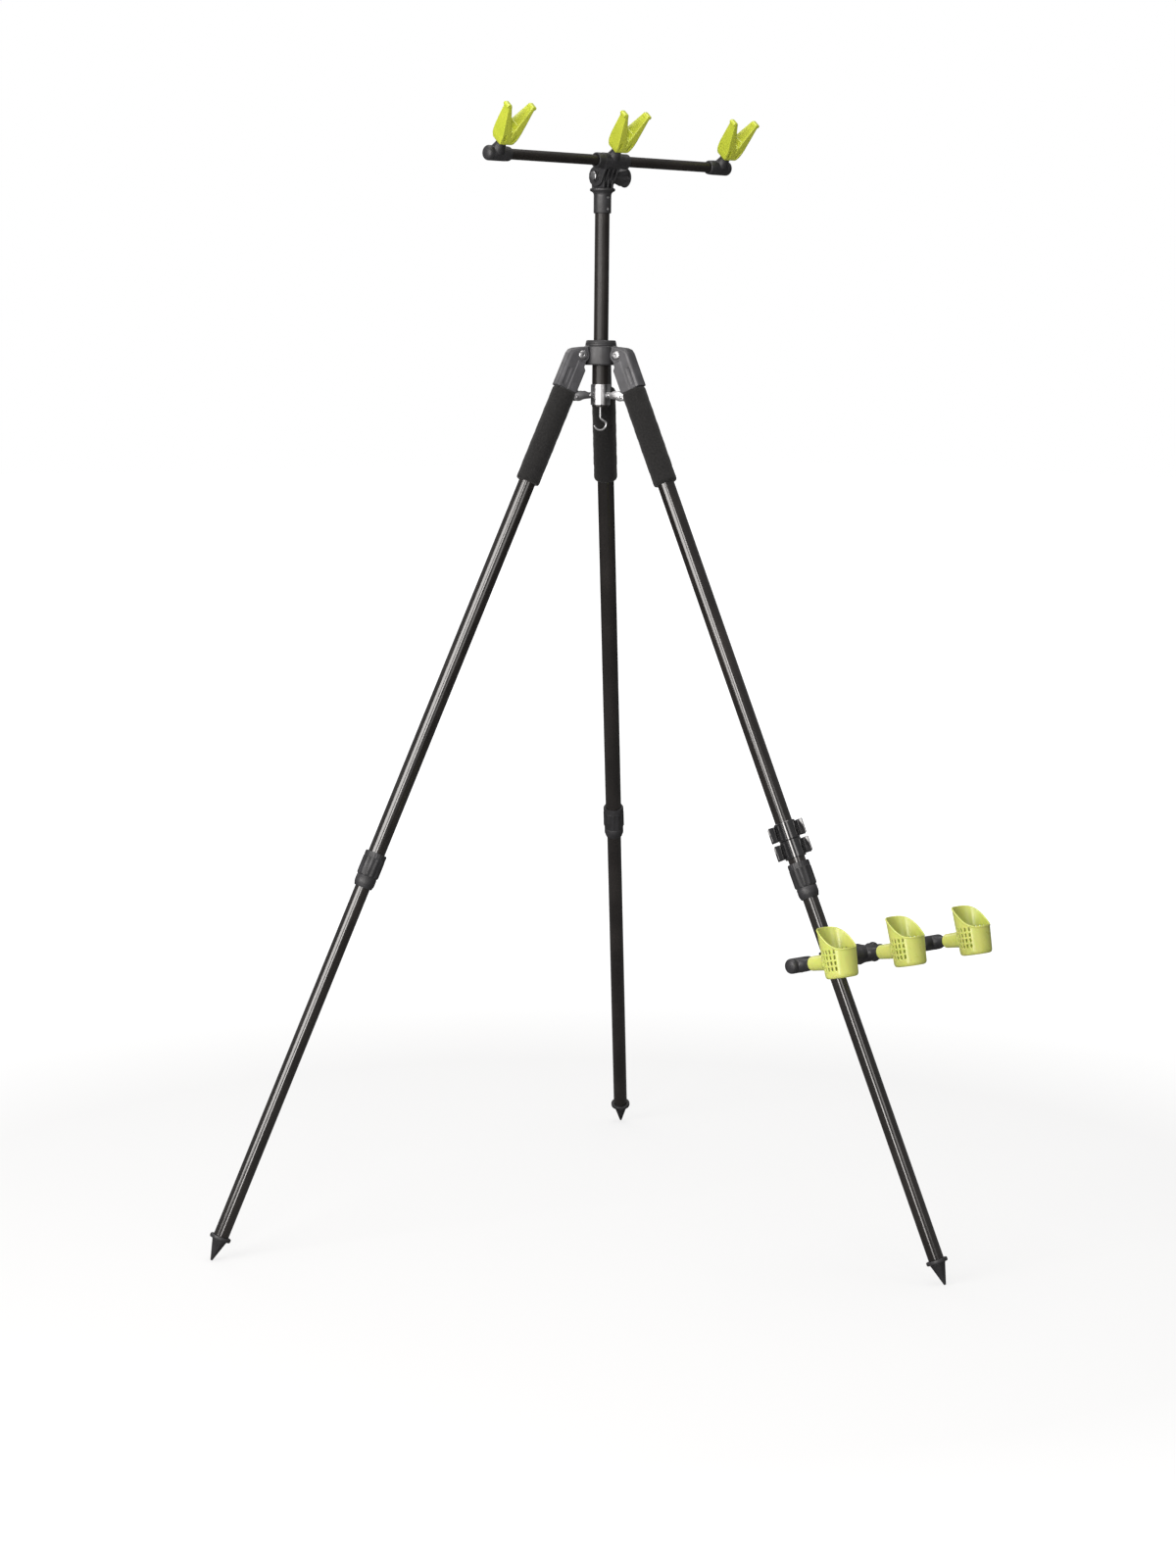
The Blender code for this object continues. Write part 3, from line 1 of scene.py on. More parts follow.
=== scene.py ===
"""Looks of the surf rod tripod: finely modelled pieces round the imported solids, with a stage, light and
a camera. Metres, +Z up. Each kind of piece is modelled once on its own axes and then put in its place."""

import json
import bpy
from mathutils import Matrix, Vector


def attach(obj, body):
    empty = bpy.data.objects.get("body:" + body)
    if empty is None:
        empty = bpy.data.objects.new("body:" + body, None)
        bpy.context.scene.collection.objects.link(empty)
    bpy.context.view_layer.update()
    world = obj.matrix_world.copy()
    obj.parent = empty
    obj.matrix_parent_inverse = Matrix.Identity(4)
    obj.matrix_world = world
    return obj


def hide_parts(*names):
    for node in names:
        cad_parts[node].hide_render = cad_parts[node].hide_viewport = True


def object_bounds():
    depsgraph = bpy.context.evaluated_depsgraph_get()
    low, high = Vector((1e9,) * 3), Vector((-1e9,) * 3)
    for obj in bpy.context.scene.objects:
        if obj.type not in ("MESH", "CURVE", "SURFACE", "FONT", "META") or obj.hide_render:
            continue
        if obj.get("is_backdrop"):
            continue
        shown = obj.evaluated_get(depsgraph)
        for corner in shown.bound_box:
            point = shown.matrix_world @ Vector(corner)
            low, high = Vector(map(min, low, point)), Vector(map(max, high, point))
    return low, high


bl_info = {
    "name": "Surf Rod Tripod",
    "version": (1, 0, 0),
    "blender": (4, 5, 0),
    "location": "3D View > Sidebar > Tripod",
    "description": "Models the visible pieces of a surf rod tripod round its packed solids",
    "category": "Object",
}

from math import acos, atan2, cos, hypot, isclose, pi, radians, sin

import bpy
from mathutils import Matrix, Vector

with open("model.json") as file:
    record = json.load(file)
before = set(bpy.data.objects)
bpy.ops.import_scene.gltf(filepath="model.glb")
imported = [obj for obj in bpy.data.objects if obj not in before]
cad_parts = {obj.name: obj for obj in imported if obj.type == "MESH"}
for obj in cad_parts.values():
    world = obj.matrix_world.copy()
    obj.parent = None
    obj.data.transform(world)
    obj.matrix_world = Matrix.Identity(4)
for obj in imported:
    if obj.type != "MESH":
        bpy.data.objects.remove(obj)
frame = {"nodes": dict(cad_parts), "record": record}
CAD_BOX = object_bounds()
BODY_OF = {node: body for body, nodes in frame["record"]["behaviour"]["bodies"].items() for node in nodes}
SIDES = ("left", "right", "back")
BEARINGS = {"left": radians(164), "right": radians(44), "back": radians(-76)}

# Sizes that the pieces share, as in the solids
GAP = 0.0003
HEAD_RISE = 0.289
HEAD_TILT = radians(40)
LOWER_TILT = radians(77)
CLAMP_PLACE = 1.050
CLAMP_REACH = 0.047
TEE_REACH = 0.0315
BAR_WALL = 0.0012
BAR_OVERLAP = 0.012
TOP_STATION = 0.243
LOWER_STATION = 0.153
SHOULDER_END = 0.062
UPPER_WALL = 0.0012
UPPER_END = 0.918
LOWER_WALL = 0.001
LOWER_START = 0.800
LOWER_END = 1.546
COLLAR_PLACE = 0.910
GRIP_LENGTH = 0.164
GRIP_RINGS = 40
COLUMN_WALL = 0.0015
COLUMN_ENDS = (-0.081, 0.2675)
GUIDE_ENDS = (-0.084, 0.0117)
FIN_PITCH = 0.0092
FIN = 0.0037
KNUCKLE_HALF = 1.5 * FIN_PITCH + FIN / 2
BOLT_HOLE = 0.0043
BOSS = 0.0026
SEAT_DROP = 0.019
SCREW_DROPS = {"upper": 0.015, "lower": 0.034}
LINK_PIN = (0.0205, -0.065)
CLIP_PLACES = {"upper": 0.8264, "lower": 0.8567}
STUB_TOP = 0.031
STUB_SCREW = 0.0033
BAR_BORE = 0.0088
CUP_TOP = 0.0290
CUP_BOTTOM = 0.0255
CUP_HEIGHT = 0.079
CUP_FRONT = 0.044
CUP_BOSS = 0.035
CUP_BOSS_UP = 0.026
CUP_SLOT_PITCH = radians(15)
CUP_SLOT_RISE = 0.0087
SMOOTH_SIDES = 72
FINE = "fine_"
MERGE = 1e-6

# Camera, floor and light
CAMERA_PLACE = (-3.417, -3.864, 1.439)
CAMERA_YAW = radians(41.33)
CAMERA_PITCH = radians(7.69)
CAMERA_ROLL = radians(-0.57)
CAMERA_LENS = 71.40
FLOOR_SIZE = 60
FLOOR_FADE = (1.2, 3.0)
FLOOR_GLOW = 0.62
FLOOR_LIGHT = 1.24
SKY_STRENGTH = 0.22
LAMP_TINT = (1.0, 0.97, 0.945)
LAMPS = (
    ("left softbox", (-3.55, -0.35, 2.1), (2.2, 2.2), 116, (-0.2, 0.0, 0.9)),
    ("front strip", (-2.75, -2.2, 1.35), (0.7, 2.4), 54, (0.1, -0.3, 0.8)),
    ("front fill", (-1.0, -3.5, 1.65), (1.2, 1.2), 11, (0.0, 0.0, 1.3)),
    ("top softbox", (0.0, -0.3, 4.4), (3.0, 3.0), 90, (0.0, 0.0, 0.0)),
    ("rim", (0.8, 3.2, 2.8), (2.0, 1.2), 16, (0.0, 0.0, 1.0)),
)

ALONG_X = Matrix.Rotation(radians(90), 4, "Y")
ALONG_Y = Matrix.Rotation(radians(90), 4, "X")
FACING_X = Matrix.Rotation(radians(90), 4, "Z") @ ALONG_Y


def size_of(label, value, note):
    return bpy.props.FloatProperty(name=label, description=note, default=value, subtype="DISTANCE", unit="LENGTH")


def colour_of(label, value, note):
    return bpy.props.FloatVectorProperty(
        name=label, description=note, default=value, subtype="COLOR", size=3, min=0, max=1,
    )


class TripodStance(bpy.types.PropertyGroup):
    """Where the legs hang on the hub and how they lean."""

    lean: bpy.props.FloatProperty(
        name="Lean", description="Lean of each leg from upright", default=radians(23.75),
        subtype="ANGLE", unit="ROTATION",
    )
    pivot_radius: size_of("Pivot radius", 0.038, "Leg pivots from the column's axis")
    pivot_height: size_of("Pivot height", 1.4534341, "Leg pivots over the ground")
    leg_offset: size_of("Leg offset", 0.002, "Leg axis outside its pivot")


class TripodTubes(bpy.types.PropertyGroup):
    """Diameters of the tubes."""

    upper: size_of("Upper tube", 0.028, "Outer diameter of the upper leg tubes")
    lower: size_of("Lower tube", 0.025, "Outer diameter of the lower leg tubes")
    column: size_of("Column", 0.024, "Outer diameter of the centre column")
    bar: size_of("Bars", 0.017, "Outer diameter of both rod bars")
    grip: size_of("Grip", 0.040, "Outer diameter of the foam grips")


class TripodColours(bpy.types.PropertyGroup):
    """Base colours of the finishes."""

    paint: colour_of("Black paint", (0.011, 0.0095, 0.0088), "Tubes and bars")
    dark: colour_of("Dark plastic", (0.020, 0.020, 0.022), "Knuckles, caps, knobs and collars")
    hub: colour_of("Hub plastic", (0.055, 0.055, 0.060), "Hub and leg shoulders")
    foam: colour_of("Foam", (0.009, 0.0088, 0.0088), "Hand grips")
    lime: colour_of("Lime plastic", (0.50, 0.54, 0.050), "Rod rests")
    # The cups' lime plastic, made paler by painted light shining through their thin walls
    pale_lime: colour_of("Lime plastic with painted backlight", (0.56, 0.575, 0.15), "Butt cups")
    metal: colour_of("Bright metal", (0.46, 0.46, 0.47), "Rivets, bolts, hook and spreader")
    gloss: colour_of("Gloss black", (0.010, 0.010, 0.011), "Transport clips")
    floor: colour_of("Floor", (0.45, 0.45, 0.45), "Floor and backdrop")


# Modelling by hand, in code

def deselect():
    if bpy.context.mode != "OBJECT":
        bpy.ops.object.mode_set(mode="OBJECT")
    bpy.ops.object.select_all(action="DESELECT")


def choose(thing):
    deselect()
    thing.select_set(True)
    bpy.context.view_layer.objects.active = thing


def shift(x=0.0, y=0.0, z=0.0):
    return Matrix.Translation((x, y, z))


def spun(angle, axis="Z"):
    return Matrix.Rotation(angle, 4, axis)


def moved(thing, place):
    """The thing put at a place, with the place in its mesh."""
    choose(thing)
    thing.matrix_world = place @ thing.matrix_world
    bpy.ops.object.transform_apply(location=True, rotation=True, scale=True)
    return thing


def closed(thing, place):
    """Leaves edit mode with doubles merged, holes filled and faces outwards."""
    bpy.ops.mesh.select_all(action="SELECT")
    bpy.ops.mesh.remove_doubles(threshold=MERGE)
    bpy.ops.mesh.fill_holes(sides=0)
    bpy.ops.mesh.normals_make_consistent(inside=False)
    bpy.ops.object.mode_set(mode="OBJECT")
    return moved(thing, place or Matrix())


def turned(profile, place=None, sides=SMOOTH_SIDES):
    """A round piece about Z: a circle drawn out and resized along (radius, height) points. A profile that
    ends where it starts makes a ring, and any other is closed by flat ends."""
    deselect()
    radius, height = profile[0]
    bpy.ops.mesh.primitive_circle_add(vertices=sides, radius=radius, location=(0, 0, height))
    thing = bpy.context.active_object
    bpy.ops.object.mode_set(mode="EDIT")
    bpy.ops.mesh.select_all(action="SELECT")
    for wide, high in profile[1:]:
        bpy.ops.mesh.extrude_region_move(TRANSFORM_OT_translate={"value": (0, 0, high - height)})
        if not isclose(wide, radius):
            bpy.ops.transform.resize(value=(wide / radius, wide / radius, 1))
        radius, height = wide, high
    return closed(thing, place)


def drawn(outline, start, end, place=None):
    """A plate along Z: a point drawn round an outline of (x, y) points, filled and extruded."""
    deselect()
    bpy.ops.mesh.primitive_plane_add(size=MERGE * 100, location=(*outline[0], start))
    thing = bpy.context.active_object
    bpy.ops.object.mode_set(mode="EDIT")
    bpy.ops.mesh.select_all(action="SELECT")
    bpy.ops.mesh.merge(type="CENTER")
    for (x, y), (next_x, next_y) in zip(outline, outline[1:]):
        bpy.ops.mesh.extrude_vertices_move(TRANSFORM_OT_translate={"value": (next_x - x, next_y - y, 0)})
    bpy.ops.mesh.select_all(action="SELECT")
    bpy.ops.mesh.edge_face_add()
    bpy.ops.mesh.extrude_region_move(TRANSFORM_OT_translate={"value": (0, 0, end - start)})
    return closed(thing, place)


def block(low, high, place=None, ease=0.0):
    """A box between two corners, with its edges eased."""
    deselect()
    centre = [(a + b) / 2 for a, b in zip(low, high)]
    bpy.ops.mesh.primitive_cube_add(size=1, location=centre, scale=[b - a for a, b in zip(low, high)])
    thing = bpy.context.active_object
    bpy.ops.object.transform_apply(location=True, rotation=True, scale=True)
    bpy.ops.object.mode_set(mode="EDIT")
    bpy.ops.mesh.select_all(action="SELECT")
    if ease:
        bpy.ops.mesh.bevel(offset=ease, segments=3, affect="EDGES")
    return closed(thing, place)


def rod(radius, start, end, place=None, sides=48):
    return turned([(radius, start), (radius, end)], place, sides)


def pipe(outer, inner, start, end, ease=0.0004, place=None):
    """A tube with eased rims."""
    profile = [
        (outer - ease, end), (outer, end - ease), (outer, start + ease), (outer - ease, start),
        (inner + ease, start), (inner, start + ease), (inner, end - ease), (inner + ease, end),
    ]
    return turned(profile + profile[:1], place)


def mm(*points):
    """Points given in millimetres."""
    return [(x / 1000, y / 1000) for x, y in points]


def both_ways(half):
    """A profile of (radius, height) points with its mirror image below it."""
    return [*[(wide, -high) for wide, high in half], *reversed(half)]


def wire(route, radius, resolution, cyclic=False):
    """A round wire along (x, y, z) points."""
    deselect()
    bpy.ops.curve.primitive_bezier_circle_add()
    curve = bpy.context.active_object.data
    curve.splines.clear()
    spline = curve.splines.new("POLY")
    spline.points.add(len(route) - 1)
    spline.use_cyclic_u = cyclic
    for point, place in zip(spline.points, route):
        point.co = (*place, 1)
    curve.bevel_depth = radius
    curve.bevel_resolution = resolution
    curve.use_fill_caps = True
    bpy.ops.object.convert(target="MESH")
    return bpy.context.active_object


def arc(radius, centre, start, sweep, steps):
    turns = [start + sweep * step / steps for step in range(steps + 1)]
    return [(centre[0] + radius * cos(t), centre[1] + radius * sin(t)) for t in turns]


def capsule(first, second, steps=12):
    """Outline of a strap round two discs given as (x, y, radius)."""
    (ax, ay, ar), (bx, by, br) = first, second
    way = atan2(by - ay, bx - ax)
    tilt = acos((ar - br) / hypot(bx - ax, by - ay))
    tail = arc(ar, (ax, ay), way + tilt, 2 * (pi - tilt), steps)
    return tail + arc(br, (bx, by), way - tilt, 2 * tilt, steps)


def applied(thing, change):
    choose(thing)
    bpy.ops.object.modifier_apply(modifier=change.name)


def combined(base, operation, shape):
    """The base changed by a shape, which is used up."""
    change = base.modifiers.new("shape", "BOOLEAN")
    change.operation = operation
    change.solver = "EXACT"
    change.object = shape
    applied(base, change)
    bpy.data.objects.remove(shape)


def built(base, joined=(), cut=()):
    """The base with shapes added and then taken away."""
    for operation, shapes in (("UNION", joined), ("DIFFERENCE", cut)):
        for shape in shapes:
            combined(base, operation, shape)
    return base


def together(shapes):
    """Shapes held in one object, for a cutter or as one piece."""
    deselect()
    for shape in shapes:
        shape.select_set(True)
    bpy.context.view_layer.objects.active = shapes[0]
    bpy.ops.object.join()
    return shapes[0]


def eased(thing, width, segments=3, angle=35):
    """The thing with its sharp edges rounded."""
    change = thing.modifiers.new("edges", "BEVEL")
    change.width = width
    change.segments = segments
    change.limit_method = "ANGLE"
    change.angle_limit = radians(angle)
    change.use_clamp_overlap = True
    applied(thing, change)
    return thing


def moulded(thing, grain=0.0006, passes=5):
    """The thing as one moulded skin, with soft edges and fillets."""
    change = thing.modifiers.new("skin", "REMESH")
    change.mode = "VOXEL"
    change.voxel_size = grain
    applied(thing, change)
    change = thing.modifiers.new("soft", "SMOOTH")
    change.factor = 0.5
    change.iterations = passes
    applied(thing, change)
    choose(thing)
    bpy.ops.object.shade_smooth()
    return thing


def shaded(thing, angle=38):
    choose(thing)
    bpy.ops.object.shade_smooth_by_angle(angle=radians(angle))
    return thing


def scalloped(thing, lobes, depth, low, high, sides=SMOOTH_SIDES, power=1.0):
    """Draws a turned piece in between its lobes, deepest halfway, from one height to another."""
    pitch = sides // lobes
    choose(thing)
    for offset in range(1, pitch // 2 + 1):
        part = (1 - cos(2 * pi * offset / pitch)) / 2
        mesh = thing.data
        classes = {offset, pitch - offset}
        chosen = []
        for vert in mesh.vertices:
            turn = round(atan2(vert.co.y, vert.co.x) / (2 * pi) * sides) % pitch
            chosen.append(turn in classes and low <= vert.co.z <= high)
        bpy.ops.object.mode_set(mode="EDIT")
        bpy.ops.mesh.select_all(action="DESELECT")
        bpy.ops.mesh.select_mode(type="VERT")
        bpy.ops.object.mode_set(mode="OBJECT")
        mesh.vertices.foreach_set("select", chosen)
        bpy.ops.object.mode_set(mode="EDIT")
        factor = 1 - depth * part**power
        bpy.ops.transform.resize(value=(factor, factor, 1))
        bpy.ops.object.mode_set(mode="OBJECT")


def put(model, node, place, look):
    """A copy of the model at its place, which stands for one solid and rides on its body."""
    twin = model.copy()
    twin.data = model.data.copy()
    twin.name = twin.data.name = node + "_fine"
    bpy.context.scene.collection.objects.link(twin)
    moved(twin, place)
    twin.data.materials.clear()
    twin.data.materials.append(look)
    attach(twin, BODY_OF[node])
    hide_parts(node)
    return twin


def spread(model, places, look):
    """Copies the model to each node's place and then removes it."""
    for node, place in places.items():
        put(model, node, place, look_of(look))
    bpy.data.objects.remove(model)


# Frames that the pieces stand in

def stance():
    return bpy.context.scene.tripod_stance


def tubes():
    return bpy.context.scene.tripod_tubes


def leg_place(side):
    """At a leg's pivot, with -Z down the leg and +X outward."""
    legs = stance()
    return spun(BEARINGS[side]) @ shift(x=legs.pivot_radius, z=legs.pivot_height) @ spun(-legs.lean, "Y")


def on_leg(side, down=0.0):
    """On a leg's own axis, some way down it."""
    return leg_place(side) @ shift(x=stance().leg_offset, z=-down)


def on_legs(models, place=on_leg):
    """Models given as (model, look) by piece, copied to one leg after the other and then removed."""
    copies = []
    for side in SIDES:
        for piece, (model, look) in models.items():
            copies.append(put(model, f"{side}_leg_{piece}", place(side), look_of(look)))
    for model, look in models.values():
        bpy.data.objects.remove(model)
    return copies


def spine_place():
    return shift(z=stance().pivot_height)


def head_place():
    return shift(z=stance().pivot_height + HEAD_RISE)


def top_place():
    return head_place() @ spun(HEAD_TILT, "X")


def clamp_centre():
    return on_leg("back", CLAMP_PLACE).translation


def clamp_place():
    return Matrix.Translation(clamp_centre()) @ spun(pi / 2 - stance().lean, "X")


def lower_place():
    lean = stance().lean
    way = Vector((0, -cos(lean), sin(lean)))
    return Matrix.Translation(clamp_centre() + CLAMP_REACH * way) @ spun(LOWER_TILT, "X")


KNUCKLES = {"top": top_place, "lower": lower_place}
STATIONS = {"top": TOP_STATION, "lower": LOWER_STATION}


# Finishes

class Finish:
    """A new material, with the few kinds of node that the finishes are built from."""

    def __init__(self, name):
        self.material = bpy.data.materials.new(FINE + name)
        self.material.use_nodes = True
        self.nodes = self.material.node_tree.nodes
        self.surface = self.nodes["Principled BSDF"]
        self.where = self.node("TexCoord", {}).outputs["Object"]

    def node(self, kind, inputs, **settings):
        """A new node. Each input is given as a value or as another node's output."""
        made = self.nodes.new("ShaderNode" + kind)
        for name, value in settings.items():
            setattr(made, name, value)
        self.feed(made, inputs)
        return made

    def feed(self, node, inputs):
        for name, value in inputs.items():
            if isinstance(value, bpy.types.NodeSocket):
                self.material.node_tree.links.new(value, node.inputs[name])
            else:
                node.inputs[name].default_value = value

    def noise(self, scale, detail, stretch=None):
        """A noise over the object's own coordinates, scale in lumps a metre."""
        source = self.where
        if stretch is not None:
            source = self.node("Mapping", {"Scale": stretch, "Vector": source}).outputs["Vector"]
        return self.node("TexNoise", {"Scale": scale, "Detail": detail, "Vector": source}).outputs["Fac"]

    def ranged(self, source, low, high, start=0.3, end=0.7):
        limits = {"From Min": start, "From Max": end, "To Min": low, "To Max": high}
        return self.node("MapRange", {**limits, "Value": source}).outputs["Result"]

    def blended(self, factor, first, second):
        """One colour turning into another."""
        colours = {"A": (*first, 1), "B": (*second, 1)}
        return self.node("Mix", {**colours, "Factor": factor}, data_type="RGBA").outputs["Result"]

    def bumped(self, heights):
        """Bumps laid over each other, each given as (height, strength, distance)."""
        below = {}
        for height, strength, distance in heights:
            bump = self.node("Bump", {"Strength": strength, "Distance": distance, "Height": height, **below})
            below = {"Normal": bump.outputs["Normal"]}
        return below["Normal"]

    def coloured(self, factor, colour, other, bumps, inputs):
        """Sets the surface: a colour blended into another, bumps and the other inputs by name."""
        base = {"Base Color": self.blended(factor, colour, other), "Normal": self.bumped(bumps)}
        self.feed(self.surface, {**base, **inputs})
        return self.material


def brighter(colour, factor):
    return tuple(min(1.0, part * factor) for part in colour)


def paint_look(name, colour, rough, shine, coat):
    """Paint on tube, with faint orange peel, dulled patches and hairline scuffs."""
    look = Finish(name)
    worn = look.ranged(look.noise(14, 4), 0.0, 1.0, 0.40, 0.72)
    scuffs = look.noise(900, 2, (1, 1, 0.03))
    peel = look.noise(620, 1)
    return look.coloured(
        worn, colour, brighter(colour, 1.9), [(peel, 0.025, 0.0001), (scuffs, 0.015, 0.0001)],
        {
            "Roughness": look.ranged(scuffs, rough, rough + 0.06, 0.35, 0.75), "Specular IOR Level": shine,
            "Coat Weight": coat, "Coat Roughness": 0.10,
        },
    )


def plastic_look(name, colour, rough, grain, fleck):
    """Moulded plastic with a spark-eroded grain, a soft sheen and rubbed spots."""
    look = Finish(name)
    fine, coarse = look.noise(grain, 2), look.noise(55, 4)
    return look.coloured(
        look.ranged(coarse, 0.0, 1.0, 0.42, 0.70), colour, brighter(colour, fleck),
        [(coarse, 0.08, 0.0006), (fine, 0.32, 0.0002)],
        {"Roughness": look.ranged(coarse, rough + 0.06, rough - 0.08), "Specular IOR Level": 0.55},
    )


def foam_look(name, colour):
    """Closed-cell foam: tiny open cells over soft dents, dusty on its high spots."""
    look = Finish(name)
    cells = look.node("TexVoronoi", {"Scale": 1100, "Vector": look.where}).outputs["Distance"]
    dust = look.ranged(look.noise(380, 5), 0.0, 1.0, 0.35, 0.75)
    return look.coloured(
        dust, colour, brighter(colour, 2.1), [(look.noise(120, 4), 0.25, 0.0008), (cells, 0.55, 0.0003)],
        {"Roughness": 0.92, "Specular IOR Level": 0.25, "Sheen Weight": 0.12, "Sheen Roughness": 0.5},
    )


def lime_look(name, colour, depth):
    """Glossy plastic with flow marks and a faint haze, and light let in by its depth."""
    look = Finish(name)
    mottle = look.ranged(look.noise(26, 4), 0.0, 1.0, 0.3, 0.75)
    deeper = (colour[0] * 0.86, colour[1] * 0.95, colour[2] * 0.75)
    return look.coloured(
        mottle, colour, deeper, [(look.noise(26, 1), 0.04, 0.0008)],
        {
            "Roughness": look.ranged(look.noise(120, 1), 0.27, 0.34),
            "Coat Weight": 0.15, "Coat Roughness": 0.2, "Subsurface Weight": depth,
            "Subsurface Radius": (0.6, 1.0, 0.15), "Subsurface Scale": 0.003,
        },
    )


def metal_look(name, colour):
    """Bright plated steel with fine polishing lines and small dull spots."""
    look = Finish(name)
    lines, spots = look.noise(1500, 2, (1, 1, 0.08)), look.noise(260, 4)
    return look.coloured(
        look.ranged(spots, 0.0, 1.0, 0.5, 0.75), colour, brighter(colour, 0.72),
        [(lines, 0.10, 0.0001), (spots, 0.08, 0.0003)],
        {"Roughness": look.ranged(spots, 0.26, 0.42), "Metallic": 1.0},
    )


def gloss_look(name, colour):
    """Shiny black clip plastic with light scuffs."""
    look = Finish(name)
    scuffs, smear = look.noise(500, 4), look.noise(40, 3)
    return look.coloured(
        look.ranged(smear, 0.0, 1.0), colour, brighter(colour, 1.6),
        [(smear, 0.05, 0.0008), (scuffs, 0.04, 0.0001)],
        {
            "Roughness": look.ranged(scuffs, 0.08, 0.2, 0.4, 0.8), "Specular IOR Level": 1.0,
            "Coat Weight": 0.5, "Coat Roughness": 0.05,
        },
    )


def look_of(name):
    """A finish by its name, made when it is first asked for."""
    found = bpy.data.materials.get(FINE + name)
    if found is not None:
        return found
    group = bpy.context.scene.tripod_colours
    colours = {entry: tuple(getattr(group, entry)) for entry in TripodColours.__annotations__}
    maker, *settings = {
        "black_paint": (paint_look, colours["paint"], 0.15, 0.7, 0.4),
        "satin_paint": (paint_look, colours["paint"], 0.36, 0.35, 0.0),
        "dark_plastic": (plastic_look, colours["dark"], 0.48, 2600, 1.7),
        "hub_plastic": (plastic_look, colours["hub"], 0.44, 1900, 1.4),
        "dark_hub": (plastic_look, brighter(colours["hub"], 0.45), 0.44, 1900, 1.4),
        "foam": (foam_look, colours["foam"]),
        "lime_plastic": (lime_look, colours["lime"], 0.0),
        # The cups' lime plastic, made paler by painted light shining through their thin walls
        "pale_lime": (lime_look, colours["pale_lime"], 0.2),
        "bright_metal": (metal_look, colours["metal"]),
        "gloss_black": (gloss_look, colours["gloss"]),
    }[name]
    return maker(name, *settings)


# Pieces

class TRIPOD_OT_tubes(bpy.types.Operator):
    """Leg tubes, column, column guide and both bars"""

    bl_idname = "tripod.tubes"
    bl_label = "Tubes and bars"

    def execute(self, context):
        sizes = tubes()
        upper, lower, column, bar = (width / 2 for width in (sizes.upper, sizes.lower, sizes.column, sizes.bar))
        on_legs({
            "upper_tube": (shaded(pipe(upper, upper - UPPER_WALL, -UPPER_END, -SHOULDER_END - GAP)), "black_paint"),
            "lower_tube": (shaded(pipe(lower, lower - LOWER_WALL, -LOWER_END, -LOWER_START)), "black_paint"),
        })
        model = shaded(pipe(column, column - COLUMN_WALL, *COLUMN_ENDS))
        spread(model, {"column_tube": spine_place()}, "satin_paint")
        model = shaded(pipe(column + 0.002, column + GAP, *GUIDE_ENDS))
        spread(model, {"column_guide_tube": spine_place()}, "satin_paint")
        for name, place in KNUCKLES.items():
            reach = STATIONS[name] + BAR_OVERLAP
            model = shaded(pipe(bar, bar - BAR_WALL, -reach, reach, place=ALONG_X))
            spread(model, {f"{name}_bar": place() @ shift(z=TEE_REACH)}, "satin_paint")
        return {"FINISHED"}


class TRIPOD_OT_foam_grips(bpy.types.Operator):
    """Foam hand grip on each leg"""

    bl_idname = "tripod.foam_grips"
    bl_label = "Foam grips"

    def execute(self, context):
        outer = tubes().grip / 2
        inner = tubes().upper / 2 + GAP
        top = -SHOULDER_END - GAP
        rim = [(outer - 0.0034, 0.0), (outer - 0.0012, 0.0010), (outer - 0.0002, 0.0036)]
        profile = [(inner, top), *[(wide, top - down) for wide, down in rim]]
        for ring in range(1, GRIP_RINGS):
            down = 0.0036 + (GRIP_LENGTH - 0.0072) * ring / GRIP_RINGS
            swell = 0.00016 * sin(ring * 0.83) + 0.00010 * sin(ring * 2.1)
            profile.append((outer - 0.0002 + swell, top - down))
        profile += [(wide, top - GRIP_LENGTH + down) for wide, down in reversed(rim)]
        grip = turned([*profile, (inner, top - GRIP_LENGTH), (inner, top)])
        offset = stance().leg_offset
        notch = block((-0.040, -0.009, -0.0828), (-0.0098 - offset, 0.009, top + 0.003), shift(x=-offset), 0.001)
        shaded(built(grip, cut=[notch]), 45)
        for piece in on_legs({"foam_grip": (grip, "foam")}):
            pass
        return {"FINISHED"}


class TRIPOD_OT_lock_collars(bpy.types.Operator):
    """Twist collar over each leg joint"""

    bl_idname = "tripod.lock_collars"
    bl_label = "Lock collars"

    def execute(self, context):
        upper_bore = tubes().upper / 2 + GAP
        lower_bore = tubes().lower / 2 + GAP
        collar = turned([
            (lower_bore, -0.030), *mm(
                (14.6, -30), (15.2, -28.5), (16.8, -23.5), (17, -22.2), (17, -12.5), (16.4, -11.9), (16.4, -11),
                (17, -10.4), (18, -9.2), (18.5, -7.8), (18.5, 19.5), (18.1, 20.5), (17.8, 20.9), (17.8, 21.6),
                (18.2, 22), (18.2, 28.5), (17.2, 30),
            ),
            (upper_bore, 0.030), (upper_bore, -0.008), (lower_bore, -0.008), (lower_bore, -0.030),
        ])
        scalloped(collar, 12, 0.075, -0.0093, 0.0197)
        scalloped(collar, 24, 0.060, 0.0219, 0.0286)
        shaded(collar, 50)
        on_legs({"lock_collar": (collar, "dark_plastic")}, lambda side: on_leg(side, COLLAR_PLACE))
        return {"FINISHED"}


